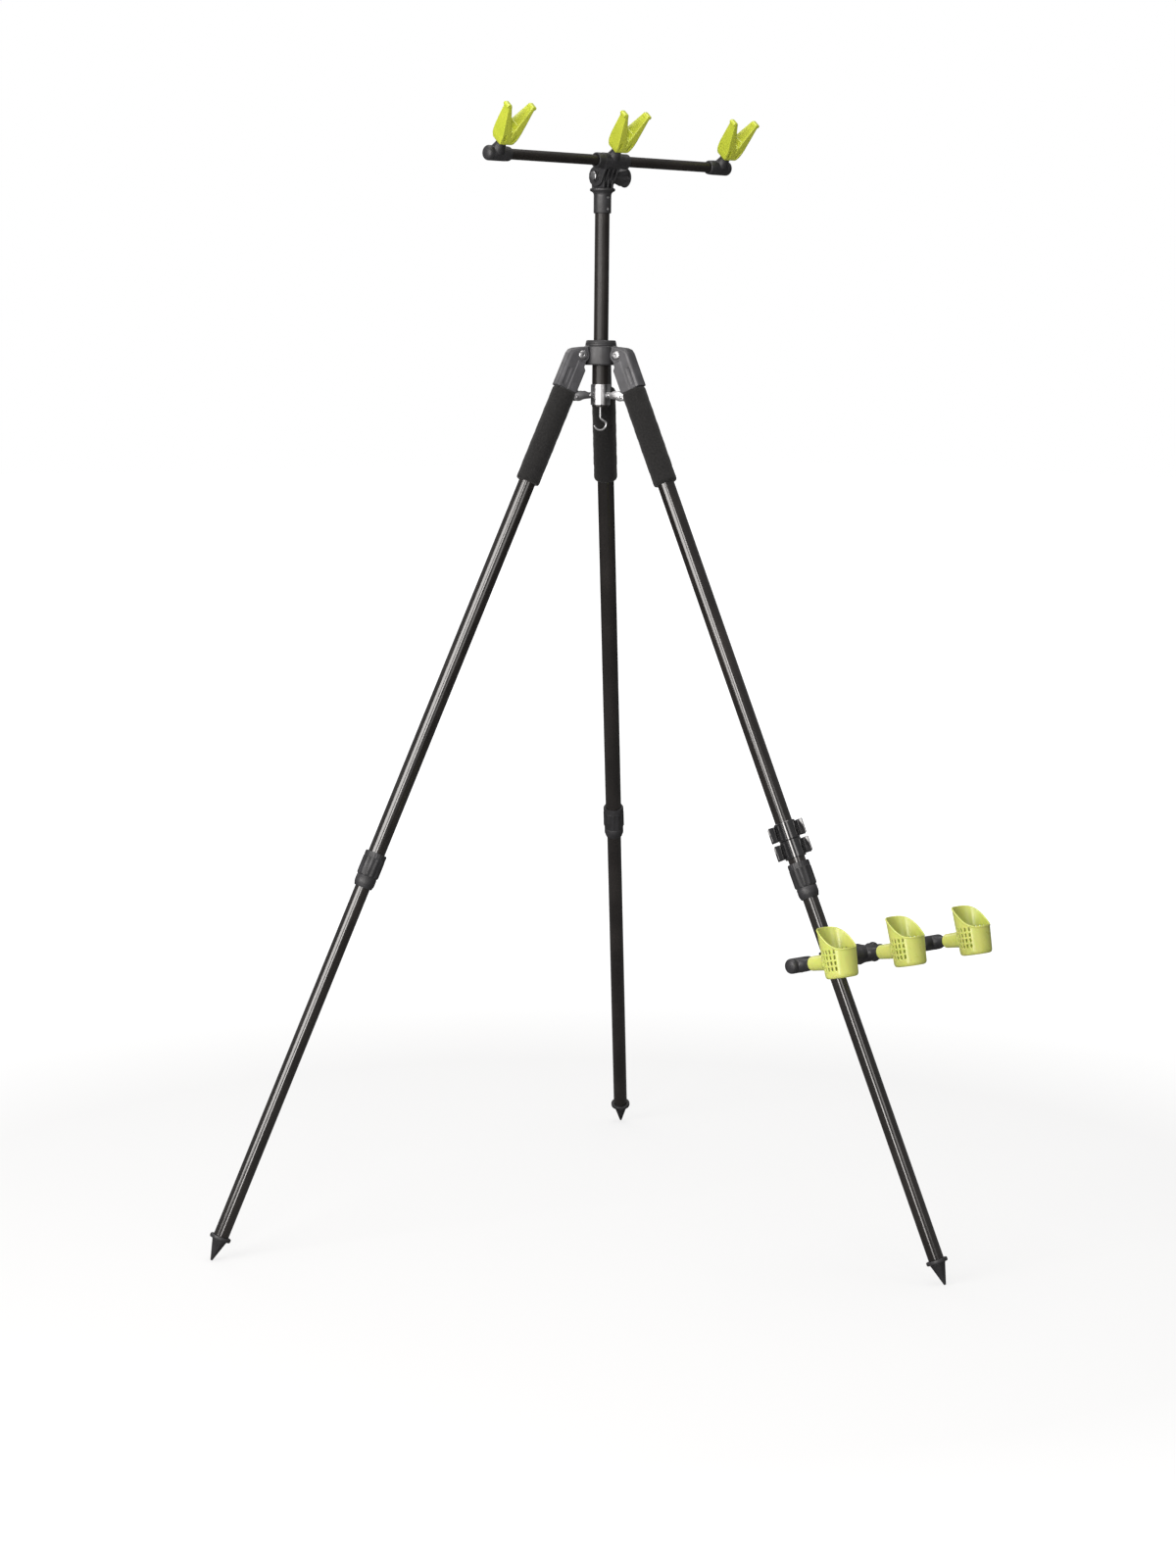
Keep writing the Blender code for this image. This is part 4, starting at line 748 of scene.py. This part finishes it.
class TRIPOD_OT_feet(bpy.types.Operator):
    """Flanged plug with a ground spike at each leg's end"""

    bl_idname = "tripod.feet"
    bl_label = "Feet"

    def execute(self, context):
        flange = turned(mm(
            (11.2, 14.7), (11.5, 14), (11.5, 0), (16.5, 0), (17.2, -0.6), (17.5, -1.6), (17.5, -4.4),
            (17.2, -5.4), (16.5, -6), (11, -6.1),
        ))
        spike = turned(mm((13, -4), (13, -7.8), (12.2, -9.2), (1.8, -41.7)), sides=8)
        eased(spike, 0.0006, 2, 20)
        foot = shaded(built(flange, joined=[spike]), 25)
        on_legs({"foot": (foot, "dark_plastic")}, lambda side: on_leg(side, LOWER_END + GAP))
        return {"FINISHED"}


def solid_of(node, back):
    """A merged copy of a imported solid, brought back onto its own axes."""
    twin = bpy.data.objects.new("copy", frame["nodes"][node].data.copy())
    bpy.context.scene.collection.objects.link(twin)
    choose(twin)
    bpy.ops.object.mode_set(mode="EDIT")
    bpy.ops.mesh.select_all(action="SELECT")
    bpy.ops.mesh.remove_doubles(threshold=MERGE * 2)
    bpy.ops.mesh.dissolve_limited(angle_limit=radians(0.3))
    bpy.ops.object.mode_set(mode="OBJECT")
    return moved(twin, back)


class TRIPOD_OT_shoulders(bpy.types.Operator):
    """Forked shoulder at the top of each leg, with its pivot rivet"""

    bl_idname = "tripod.shoulders"
    bl_label = "Shoulders"

    def execute(self, context):
        shoulder = solid_of("left_leg_shoulder", leg_place("left").inverted())
        ring = capsule((0.0125, -0.030, 0.0030), (0.0125, -0.053, 0.0030))
        hollows = [drawn(ring, 0.0117, 0.02, ALONG_Y), drawn(ring, -0.02, -0.0117, ALONG_Y)]
        moulded(built(shoulder, cut=hollows), 0.00058, 4)
        half = mm((0.4, 14), (1.6, 14.1), (2.1, 14.8), (4.8, 14.9), (6.6, 14.4), (7.6, 13.6), (7.75, 12.8), (4, 12.8))
        rivet = turned(both_ways(half), ALONG_Y, 48)
        shaded(rivet, 50)
        on_legs({"shoulder": (shoulder, "hub_plastic"), "pivot_pin": (rivet, "bright_metal")}, leg_place)
        return {"FINISHED"}


def across_pivot(radius, half, bearing):
    """A rod across a leg's pivot."""
    return rod(radius, -half, half, spun(bearing) @ shift(x=stance().pivot_radius) @ ALONG_Y)


class TRIPOD_OT_hub(bpy.types.Operator):
    """Hub with its lugs, the column lock ring, the split collet and the column's end plug"""

    bl_idname = "tripod.hub"
    bl_label = "Hub"

    def execute(self, context):
        column = tubes().column / 2
        bore = column + 0.0023
        core = turned([
            *mm((26.5, 15), (27.7, 14.3), (28, 13.2), (28, -14.2), (27.4, -15.5), (26.2, -16)),
            (bore, -0.0160), (bore, 0.0120), *mm((17.3, 12), (17.3, 21), (19, 21), (19, 15), (26.5, 15)),
        ])
        built(core, cut=[across_pivot(0.0128, 0.0131, bearing) for bearing in BEARINGS.values()])
        lugs = []
        for bearing in BEARINGS.values():
            outline = [(0.022, -0.010), *arc(0.010, (0.038, 0), -pi / 2, pi, 24), (0.022, 0.010)]
            lugs.append(drawn(outline, -0.006, 0.006, spun(bearing) @ ALONG_Y))
        built(core, joined=lugs, cut=[across_pivot(BOLT_HOLE, 0.008, bearing) for bearing in BEARINGS.values()])
        moulded(core, 0.00055, 4)
        spread(core, {"hub_body": spine_place()}, "dark_hub")
        ring = turned([
            *mm(
                (19.3, 15.3), (25.4, 15.3), (26, 15.9), (25.6, 18), (25.2, 18.3), (25.2, 18.7), (25.4, 19),
                (24.3, 23.2), (23.8, 24), (22.8, 24.5), (16, 24.5), (15, 24.1), (14.6, 23.2),
            ),
            (column + 0.0008, 0.0230), (column + GAP, 0.0226), (column + GAP, 0.0213),
            (0.0193, 0.0213), (0.0193, 0.0153),
        ], sides=96)
        spread(shaded(ring, 42), {"column_lock_ring": spine_place()}, "dark_plastic")
        collet = pipe(0.0170, column + GAP, 0.0123, 0.0210)
        built(collet, cut=[block((0, -0.0008, 0.0120), (0.019, 0.0008, 0.0213))])
        spread(shaded(collet), {"column_collet": spine_place()}, "dark_plastic")
        plug = turned(mm(
            (2.3, -66.3), (9.6, -66.3), (10.2, -66.9), (10.2, -81.3), (11.7, -81.3), (12, -81.6), (12, -83.4),
            (11.4, -84), (4, -84), (2.3, -83.2), (2.3, -66.3),
        ))
        spread(shaded(plug), {"column_end_plug": spine_place()}, "dark_plastic")
        return {"FINISHED"}


class TRIPOD_OT_spreader(bpy.types.Operator):
    """Sliding sleeve on the column's guide with its three links"""

    bl_idname = "tripod.spreader"
    bl_label = "Spreader"

    def execute(self, context):
        inner = tubes().column / 2 + 0.0023
        outer = inner + 0.0017
        sleeve = pipe(outer, inner, -0.081, -0.047, 0.0005)
        pin, low = LINK_PIN
        outline = [(inner + 0.0008, low - 0.0046), *arc(0.0046, LINK_PIN, -pi / 2, pi, 20)]
        outline.append((inner + 0.0008, low + 0.0046))
        turns = [spun(bearing) for bearing in BEARINGS.values()]
        lugs = [drawn(outline, -0.0048, 0.0048, turn @ ALONG_Y) for turn in turns]
        holes = [rod(0.0022, -0.006, 0.006, turn @ shift(x=pin, z=low) @ ALONG_Y, 24) for turn in turns]
        built(sleeve, joined=lugs, cut=holes)
        eased(sleeve, 0.0004, 2, 50)
        spread(shaded(sleeve), {"spreader_sleeve": spine_place()}, "bright_metal")
        length, slope = self.link_span()
        neck = length * 0.62
        outline = [
            *arc(0.0050, (0, 0), pi * 0.5, pi, 18),
            (neck - 0.003, -0.0050), (neck, -0.0054), (neck + 0.002, -0.0062), (neck + 0.004, -0.0068),
            (neck + 0.006, -0.0070), (length - 0.0005, -0.0070),
            *arc(0.0066, (length, 0), -pi * 0.42, pi * 0.77, 16),
            (length - 0.0035, 0.0083), (length - 0.0055, 0.0086),
            *mm((11, 8.5), (8.8, 7.8), (7, 6.6), (4.8, 5.6), (2.5, 5.1)),
        ]
        plates = [
            eased(drawn(outline, side * 0.006, side * 0.0075, ALONG_Y), 0.0004, 2, 50) for side in (-1, 1)
        ]
        half = mm((0.3, 8.7), (1.4, 8.6), (2.6, 8.1), (3, 7.5), (1.9, 7.5))
        pins = [turned(both_ways(half), shift(x=place) @ ALONG_Y, 32) for place in (0.0, length)]
        link = shaded(together([*plates, *pins]))
        places = {
            f"{side}_spreader_link": spine_place() @ spun(BEARINGS[side]) @ shift(x=pin, z=low) @ spun(slope, "Y")
            for side in SIDES
        }
        spread(link, places, "bright_metal")
        return {"FINISHED"}

    @staticmethod
    def link_span():
        """Length and slope of a link at rest, from the sleeve's pin to the leg's."""
        legs = stance()
        pin, low = LINK_PIN
        out = legs.pivot_radius - pin * cos(legs.lean) - low * sin(legs.lean)
        height = low * cos(legs.lean) - pin * sin(legs.lean)
        return hypot(out - pin, low - height), atan2(low - height, out - pin)


class TRIPOD_OT_hook(bpy.types.Operator):
    """Wire hook for a weight, hanging from the column's end plug"""

    bl_idname = "tripod.hook"
    bl_label = "Weight hook"

    def execute(self, context):
        radius, bend, drop, steps = 0.0103, -0.101, 0.0107, 12
        route = [(0.0, height) for height in (-0.071, -0.080, -0.090, -0.096)]
        for part in (step / steps for step in range(steps)):
            route.append((radius * (1 - cos(pi * part)) / 2, bend - drop * part))
        route += arc(radius, (0.0, bend - drop), 0.0, -radians(165), 40)
        hook = wire([(x, 0, z) for x, z in route], 0.002, 6)
        eased(hook, 0.0007, 3, 60)
        spread(shaded(hook, 60), {"weight_hook": spine_place() @ spun(radians(-30))}, "bright_metal")
        return {"FINISHED"}


def seat_fins(base):
    """The three fins of a knuckle's fixed side, down to their base."""
    outline = [(-0.0144, base), (0.0144, base), *arc(0.016, (0, 0), radians(-18), radians(216), 40)]
    return [
        eased(drawn(outline, -FIN / 2, FIN / 2, shift(x=(k - 1) * FIN_PITCH) @ FACING_X), 0.0005, 2, 50)
        for k in range(3)
    ]


class TRIPOD_OT_head_socket(bpy.types.Operator):
    """Socket that caps the column and carries the head's fins, with its two grub screws"""

    bl_idname = "tripod.head_socket"
    bl_label = "Head socket"

    def execute(self, context):
        top = -SEAT_DROP
        under = top - 0.0049
        bottom = top - 0.0404
        bore = tubes().column / 2 + GAP
        outer = 0.0144
        neck = arc(0.0065, (outer + 0.0065, under - 0.0065), pi * 0.5, pi / 2, 10)
        socket = turned([
            (0.001, top), (0.0190, top), (0.0205, top - 0.0008), (0.0208, top - 0.0018),
            (0.0208, under + 0.0014), (0.0200, under + 0.0003), *neck[1:], (outer, bottom + 0.0008),
            (outer - 0.0007, bottom), (bore, bottom), (bore, top - 0.0022), (0.001, top - 0.0022),
        ])
        holes = [rod(BOLT_HOLE, -0.017, 0.017, ALONG_X)]
        holes += [rod(0.0025, 0, 0.025, shift(z=top - drop) @ ALONG_Y, 32) for drop in SCREW_DROPS.values()]
        built(socket, joined=seat_fins(top - 0.0011), cut=holes)
        moulded(socket, 0.0005, 3)
        spread(socket, {"head_socket": head_place()}, "dark_plastic")
        screw = turned(mm(
            (0.6, 13.4), (1.1, 13.4), (1.3, 14.3), (1.9, 14.3), (2.2, 14), (2.2, 12.4), (0.4, 12.3),
        ), sides=30)
        places = {
            f"socket_screw_{name}": head_place() @ shift(z=top - drop) @ ALONG_Y for name, drop in SCREW_DROPS.items()
        }
        spread(shaded(screw), places, "bright_metal")
        return {"FINISHED"}


def stub_shape():
    """The upright stub that a rest or a cup turns on, with its flared root."""
    return turned([
        *mm((12.2, 6), (11.4, 9.2), (10.2, 12.8), (9.2, 16), (8.6, 19.2), (8.5, 21.5)),
        (0.0085, STUB_TOP - 0.0008), (0.0078, STUB_TOP),
    ])


class TRIPOD_OT_knuckles(bpy.types.Operator):
    """Tee with its fins, hexagon bolt, washer and star knob, at the head and at the clamp"""

    bl_idname = "tripod.knuckles"
    bl_label = "Knuckles"

    def execute(self, context):
        models = {
            "tee": (self.tee(), "dark_plastic"), "bolt": (self.bolt(), "bright_metal"),
            "washer": (self.washer(), "bright_metal"), "knob": (self.knob(), "dark_plastic"),
        }
        for kind, (model, look) in models.items():
            spread(model, {f"{name}_{kind}": place() for name, place in KNUCKLES.items()}, look)
        return {"FINISHED"}

    @staticmethod
    def tee():
        return moulded(solid_of("top_tee", top_place().inverted()), 0.00056, 4)

    @staticmethod
    def bolt():
        seat = -KNUCKLE_HALF - BOSS + 0.0020 - GAP
        profile = [(0.0060, seat - 0.0050), (0.0068, seat - 0.0048), (0.0075, seat - 0.0043), (0.0075, seat)]
        head = eased(turned(profile, ALONG_X, 6), 0.0003, 2, 25)
        shank = rod(0.0040, seat - 0.0025, 0.034, ALONG_X)
        return shaded(built(head, joined=[shank]))

    @staticmethod
    def washer():
        start = KNUCKLE_HALF + BOSS + GAP
        return shaded(pipe(0.0078, BOLT_HOLE, start, start + 0.001, 0.0002, ALONG_X))

    @staticmethod
    def knob():
        start = KNUCKLE_HALF + BOSS + 0.0010 + 2 * GAP
        profile = [(BOLT_HOLE, 0.0), *mm(
            (7.2, 0), (7.7, 0.6), (9, 3.4), (10.6, 7.6), (12.1, 12), (13.6, 16), (14.9, 19.6), (16, 22.6),
            (16.7, 24.8), (16.9, 26.4), (16.7, 27.7), (16, 28.6), (15, 29), (11, 29), (8.5, 28.6), (6, 28),
            (2, 27.8), (0.4, 27.8),
        )]
        rising = turned([(radius, start + height) for radius, height in profile], sides=96)
        for low, depth in ((0.0060, 0.05), (0.0105, 0.08), (0.0150, 0.09), (0.0190, 0.09)):
            scalloped(rising, 6, depth, start + low, start + 0.0283, 96, 0.8)
        bore = rod(BOLT_HOLE, start - 0.001, start + 0.0155)
        return shaded(moved(built(rising, cut=[bore]), ALONG_X), 60)


class TRIPOD_OT_bar_caps(bpy.types.Operator):
    """Domed cap with a stub at each end of both bars"""

    bl_idname = "tripod.bar_caps"
    bl_label = "Bar caps"

    def execute(self, context):
        cap = turned(mm(
            (1.2, -21.5), (5, -21.1), (8, -20.3), (9.8, -19.4), (10.8, -18.4), (11.5, -17.1), (11.9, -15.7),
            (12, -14.2), (12, -11), (11.4, -10.5), (11.4, -9.8), (12, -9.3), (12, 15), (11.6, 23.5),
            (11.1, 26.2), (10.3, 27),
        ), ALONG_X)
        cutters = [
            rod(STUB_SCREW, STUB_TOP - 0.013, STUB_TOP + 0.001, sides=32),
            rod(BAR_BORE, -0.0123, 0.028, ALONG_X),
        ]
        built(cap, joined=[stub_shape()], cut=cutters)
        moulded(cap, 0.00048, 3)
        places = {}
        for name, place in KNUCKLES.items():
            for side, sign, turn in (("left", -1, 0), ("right", 1, pi)):
                spot = place() @ shift(x=sign * STATIONS[name], z=TEE_REACH) @ spun(turn)
                places[f"{name}_cap_{side}"] = spot
        spread(cap, places, "dark_plastic")
        return {"FINISHED"}


def in_row(piece, name, stand=Matrix()):
    """The three nodes of a piece on a bar's stubs, with their places."""
    row = (("left", -1), ("middle", 0), ("right", 1))
    return {
        f"{piece}_{side}": KNUCKLES[name]() @ shift(x=sign * STATIONS[name], z=TEE_REACH) @ stand
        for side, sign in row
    }


class TRIPOD_OT_rod_rests(bpy.types.Operator):
    """V rests on the top bar"""

    bl_idname = "tripod.rod_rests"
    bl_label = "Rod rests"

    def execute(self, context):
        spread(self.shape(), in_row("rod_rest", "top"), "lime_plastic")
        return {"FINISHED"}

    @staticmethod
    def shape():
        root = arc(0.0040, (0, 0.0540), radians(205), radians(130), 16)
        outer = mm(
            (27.5, 94.5), (26.2, 88), (22.5, 66), (19.2, 49), (17.8, 43), (17, 39), (16.3, 34.5), (15.2, 30),
            (13.8, 26.2), (12, 23.5),
        )
        front = [
            (0.0210, 0.0945), *reversed(root), (-0.0210, 0.0945),
            *[(-x, z) for x, z in outer], *reversed(outer),
        ]
        side = mm(
            (10, 22.5), (12, 26.2), (13.4, 31), (14.2, 37), (14.2, 41), (13.6, 47), (12.2, 56), (10.4, 68),
            (8.6, 80), (6.6, 95.5),
        )
        side += [(-y, z) for y, z in reversed(side)]
        body = drawn(front, -0.03, 0.03, ALONG_Y)
        combined(body, "INTERSECT", drawn(side, -0.06, 0.06, FACING_X))
        eased(body, 0.0017, 2, 48)
        lips = [
            eased(rod(0.0033, -0.0068, 0.0068, shift(x=sign * 0.0262, z=0.0912) @ ALONG_Y, 40), 0.0012, 3, 50)
            for sign in (-1, 1)
        ]
        cutters = [rod(0.0020, -0.02, 0.02, shift(z=0.0503) @ ALONG_Y, 32)]
        for way in (-1, 1):
            cutters.append(rod(0.0019, 0.0400, 0.0520, shift(y=way * 0.0143), 32))
            for sign in (-1, 1):
                pocket = drawn(
                    capsule((sign * 0.0082, 0.0315, 0.0013), (sign * 0.0108, 0.0415, 0.0026)),
                    0.0104, 0.02, ALONG_Y if way < 0 else ALONG_Y @ shift(z=-0.0304),
                )
                cutters.append(pocket)
        for sign in (-1, 1):
            hollow = arc(0.0460, (0, 0.0448), radians(254), radians(32), 20)
            scoop = drawn([*hollow, (0.0126, 0.0045), (-0.0126, 0.0045)], 0.008, 0.0400)
            lean = atan2(0.0210 - 0.0036, 0.0945 - 0.0523)
            upright = shift(x=sign * 0.0036, z=0.0523) @ spun(sign * lean, "Y")
            cutters.append(moved(scoop, upright @ spun(radians(90) * sign)))
        cutters.append(rod(BAR_BORE, 0.0215, STUB_TOP + GAP))
        stud = rod(0.0030, STUB_TOP - 0.010, STUB_TOP + 0.004, sides=32)
        built(body, joined=lips, cut=cutters)
        built(body, joined=[stud])
        return moulded(body, 0.00045, 6)


class TRIPOD_OT_rod_cups(bpy.types.Operator):
    """Slotted butt cups on the lower bar"""

    bl_idname = "tripod.rod_cups"
    bl_label = "Butt cups"

    def execute(self, context):
        axis = STUB_TOP + GAP + CUP_BOSS + CUP_BOTTOM
        stand = shift(z=axis) @ spun(radians(-90), "X") @ shift(z=-CUP_BOSS_UP)
        spread(self.shape(), in_row("rod_cup", "lower", stand), "pale_lime")
        return {"FINISHED"}

    @staticmethod
    def rim(across):
        """Height of the cup's rim at a distance from its axis towards the boss."""
        part = (CUP_TOP - across) / (2 * CUP_TOP)
        rise = CUP_HEIGHT - CUP_FRONT
        return CUP_FRONT + rise * (1 + cos(pi * min(1, part * 1.06))) / 2

    @classmethod
    def shape(cls):
        slope = (CUP_TOP - CUP_BOTTOM) / CUP_HEIGHT
        shell = turned([
            *mm((0.4, 0), (20.5, 0), (22.8, 0.6), (24.4, 1.9), (25.2, 3.6), (25.6, 5.6)),
            (CUP_TOP, CUP_HEIGHT), (0.0270, CUP_HEIGHT),
            *mm((23.6, 6), (23, 4.2), (21.8, 2.8), (20, 2), (0.4, 2)),
        ], sides=96)
        reach = 0.040
        steps = 28
        edge = [CUP_TOP - 2 * CUP_TOP * step / steps for step in range(steps + 1)]
        above = [(reach, CUP_HEIGHT), *[(y, cls.rim(y)) for y in edge], (-reach, CUP_FRONT)]
        trim = drawn([*above, (-reach, 0.12), (reach, 0.12)], -reach, reach, FACING_X)
        boss_axis = shift(z=CUP_BOSS_UP) @ spun(radians(-90), "X")
        boss = turned(mm((15, 23.8), (14, 26.2), (13, 28.5), (12.7, 32), (11.2, 59.7), (10.4, 60.5)), boss_axis)
        stud = rod(0.0030, 0.0585, 0.0705, boss_axis, 32)
        slots = []
        for side, sign in ((0, 1), (pi, -1)):
            for column in range(5):
                turn = spun(side + CUP_SLOT_PITCH * (column - 1.9) * sign) @ FACING_X
                for row in range(4):
                    foot = 0.012 + row * CUP_SLOT_RISE
                    outline = capsule((0, foot + 0.00135, 0.00135), (0, foot + 0.00515, 0.00135), 8)
                    slots.append(drawn(outline, 0.021 + slope * foot, 0.032, turn))
        built(shell, cut=[trim])
        bead = cls.bead(slope)
        built(shell, joined=[boss], cut=[together(slots)])
        return moulded(together([shell, bead, stud]), 0.00058, 4)

    @classmethod
    def bead(cls, slope):
        """Rolled bead along the rim."""
        steps = 120
        route = []
        for turn in (2 * pi * step / steps for step in range(steps)):
            height = cls.rim(0.028 * sin(turn))
            radius = CUP_BOTTOM + slope * height - 0.0007
            route.append((radius * cos(turn), radius * sin(turn), height - 0.0006))
        return wire(route, 0.0015, 3, cyclic=True)


class TRIPOD_OT_leg_clamp(bpy.types.Operator):
    """Clamp on the back leg that carries the lower bar"""

    bl_idname = "tripod.leg_clamp"
    bl_label = "Leg clamp"

    def execute(self, context):
        way = clamp_place().inverted().to_3x3() @ (on_leg("back").to_3x3() @ Vector((0, 0, -1)))
        to_leg = way.to_track_quat("Z", "X").to_matrix().to_4x4()
        sleeve = turned(both_ways(mm((15, 22.5), (16, 22.1), (16.5, 21.2))), to_leg)
        neck = block((-0.013, -0.014, 0), (0.013, 0.014, CLAMP_REACH - SEAT_DROP), ease=0.002)
        fins = [moved(fin, shift(z=CLAMP_REACH)) for fin in seat_fins(-SEAT_DROP - 0.002)]
        cutters = [
            rod(tubes().lower / 2 + GAP, -0.045, 0.045, to_leg, SMOOTH_SIDES),
            rod(BOLT_HOLE, -0.017, 0.017, shift(z=CLAMP_REACH) @ ALONG_X),
        ]
        built(sleeve, joined=[neck, *fins], cut=cutters)
        moulded(sleeve, 0.00055, 4)
        spread(sleeve, {"leg_clamp": clamp_place()}, "dark_plastic")
        return {"FINISHED"}


class TRIPOD_OT_transport_clips(bpy.types.Operator):
    """Two clips on the back leg whose jaws hold the folded legs"""

    bl_idname = "tripod.transport_clips"
    bl_label = "Transport clips"

    def execute(self, context):
        inner = tubes().upper / 2 + GAP
        ring = pipe(inner + 0.0032, 0.008, -0.015, 0.015, 0.0008)
        jaws = []
        for turn in (0, pi):
            outside = arc(0.0173, (0.0325, 0), radians(104), radians(152), 30)
            inside = arc(0.0148, (0.0325, 0), radians(256), radians(-152), 30)
            jaw = drawn(outside + inside, -0.012, 0.012, spun(turn))
            jaws.append(eased(jaw, 0.0009, 3, 50))
        built(ring, joined=jaws, cut=[rod(inner, -0.03, 0.03, sides=SMOOTH_SIDES)])
        eased(ring, 0.0004, 2, 50)
        shaded(ring, 40)
        turn = spun(radians(35))
        places = {f"transport_clip_{name}": on_leg("back", down) @ turn for name, down in CLIP_PLACES.items()}
        spread(ring, places, "gloss_black")
        return {"FINISHED"}


class TRIPOD_OT_stage(bpy.types.Operator):
    """Pale floor, soft light and the camera"""

    bl_idname = "tripod.stage"
    bl_label = "Stage"

    def execute(self, context):
        self.floor()
        self.world()
        self.lamps()
        self.camera()
        context.scene.view_settings.view_transform = "Standard"
        return {"FINISHED"}

    @staticmethod
    def floor():
        """A floor that keeps the shadow near the legs and fades into the white backdrop."""
        deselect()
        bpy.ops.mesh.primitive_plane_add(size=FLOOR_SIZE)
        floor = bpy.context.active_object
        floor.name = "floor"
        look = Finish("floor")
        rays = look.node("LightPath", {}).outputs
        pale = tuple(bpy.context.scene.tripod_colours.floor)
        look.feed(look.surface, {
            "Base Color": look.blended(rays["Is Glossy Ray"], pale, brighter(pale, 0.3)),
            "Roughness": 0.9, "Specular IOR Level": 0.0,
        })
        away = look.node("VectorMath", {0: look.where}, operation="LENGTH").outputs["Value"]
        fade = look.ranged(away, FLOOR_GLOW, 1.0, *FLOOR_FADE)
        seen = look.node("Math", {0: rays["Is Camera Ray"], 1: fade}, operation="MULTIPLY").outputs[0]
        glow = look.node("Emission", {"Strength": FLOOR_LIGHT}).outputs["Emission"]
        mixed = look.node("MixShader", {"Fac": seen, 1: look.surface.outputs["BSDF"], 2: glow})
        look.feed(look.nodes["Material Output"], {"Surface": mixed.outputs["Shader"]})
        floor.data.materials.append(look.material)
        floor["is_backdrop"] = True

    @staticmethod
    def world():
        """White where the camera sees it, dim where it lights the pieces."""
        world = bpy.data.worlds.new("studio")
        bpy.context.scene.world = world
        world.use_nodes = True
        nodes = world.node_tree.nodes
        links = world.node_tree.links
        rays = nodes.new("ShaderNodeLightPath")
        seen = nodes.new("ShaderNodeMath")
        seen.operation = "MAXIMUM"
        links.new(rays.outputs["Is Camera Ray"], seen.inputs[0])
        links.new(rays.outputs["Is Transmission Ray"], seen.inputs[1])
        background = nodes["Background"]
        background.inputs["Color"].default_value = (1, 1, 1, 1)
        level = nodes.new("ShaderNodeMapRange")
        level.inputs["To Min"].default_value = SKY_STRENGTH
        links.new(seen.outputs[0], level.inputs["Value"])
        links.new(level.outputs["Result"], background.inputs["Strength"])

    @staticmethod
    def lamps():
        for name, place, size, power, aim in LAMPS:
            deselect()
            bpy.ops.object.light_add(type="AREA", location=place)
            lamp = bpy.context.active_object
            lamp.name = name
            lamp.data.shape = "RECTANGLE"
            lamp.data.size, lamp.data.size_y = size
            lamp.data.energy = power
            lamp.data.color = LAMP_TINT
            lamp.rotation_euler = (Vector(aim) - Vector(place)).to_track_quat("-Z", "Y").to_euler()
            lamp.visible_camera = False

    @staticmethod
    def camera():
        deselect()
        bpy.ops.object.camera_add()
        camera = bpy.context.active_object
        camera.name = "camera"
        flat = cos(CAMERA_PITCH)
        ahead = Vector((sin(CAMERA_YAW) * flat, cos(CAMERA_YAW) * flat, -sin(CAMERA_PITCH)))
        level = Vector((cos(CAMERA_YAW), -sin(CAMERA_YAW), 0))
        below = ahead.cross(level)
        right = cos(CAMERA_ROLL) * level + sin(CAMERA_ROLL) * below
        down = -sin(CAMERA_ROLL) * level + cos(CAMERA_ROLL) * below
        turn = Matrix((right, -down, -ahead)).transposed()
        camera.matrix_world = Matrix.Translation(CAMERA_PLACE) @ turn.to_4x4()
        camera.data.lens = CAMERA_LENS
        bpy.context.scene.camera = camera


PIECES = (
    TRIPOD_OT_tubes, TRIPOD_OT_foam_grips, TRIPOD_OT_lock_collars, TRIPOD_OT_feet, TRIPOD_OT_shoulders,
    TRIPOD_OT_hub, TRIPOD_OT_spreader, TRIPOD_OT_hook, TRIPOD_OT_head_socket, TRIPOD_OT_knuckles,
    TRIPOD_OT_bar_caps, TRIPOD_OT_rod_rests, TRIPOD_OT_rod_cups, TRIPOD_OT_leg_clamp,
    TRIPOD_OT_transport_clips, TRIPOD_OT_stage,
)
GROUPS = (("tripod_stance", TripodStance), ("tripod_tubes", TripodTubes), ("tripod_colours", TripodColours))


class TRIPOD_PT_panel(bpy.types.Panel):
    """Sizes, colours and pieces of the tripod"""

    bl_idname = "TRIPOD_PT_panel"
    bl_label = "Surf rod tripod"
    bl_space_type = "VIEW_3D"
    bl_region_type = "UI"
    bl_category = "Tripod"

    def draw(self, context):
        for name, group in GROUPS:
            box = self.layout.box()
            for entry in group.__annotations__:
                box.prop(getattr(context.scene, name), entry)
        for piece in PIECES:
            self.layout.operator(piece.bl_idname)


def register():
    for name, group in GROUPS:
        bpy.utils.register_class(group)
        setattr(bpy.types.Scene, name, bpy.props.PointerProperty(type=group))
    for piece in (*PIECES, TRIPOD_PT_panel):
        bpy.utils.register_class(piece)


def unregister():
    for piece in reversed((*PIECES, TRIPOD_PT_panel)):
        bpy.utils.unregister_class(piece)
    for name, group in reversed(GROUPS):
        delattr(bpy.types.Scene, name)
        bpy.utils.unregister_class(group)


def main():
    register()
    for piece in PIECES:
        family, name = piece.bl_idname.split(".")
        getattr(getattr(bpy.ops, family), name)()
    boxes = {"cad": CAD_BOX, "visual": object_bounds()}
    {name: [list(corner) for corner in box] for name, box in boxes.items()}


if __name__ == "__main__":
    main()
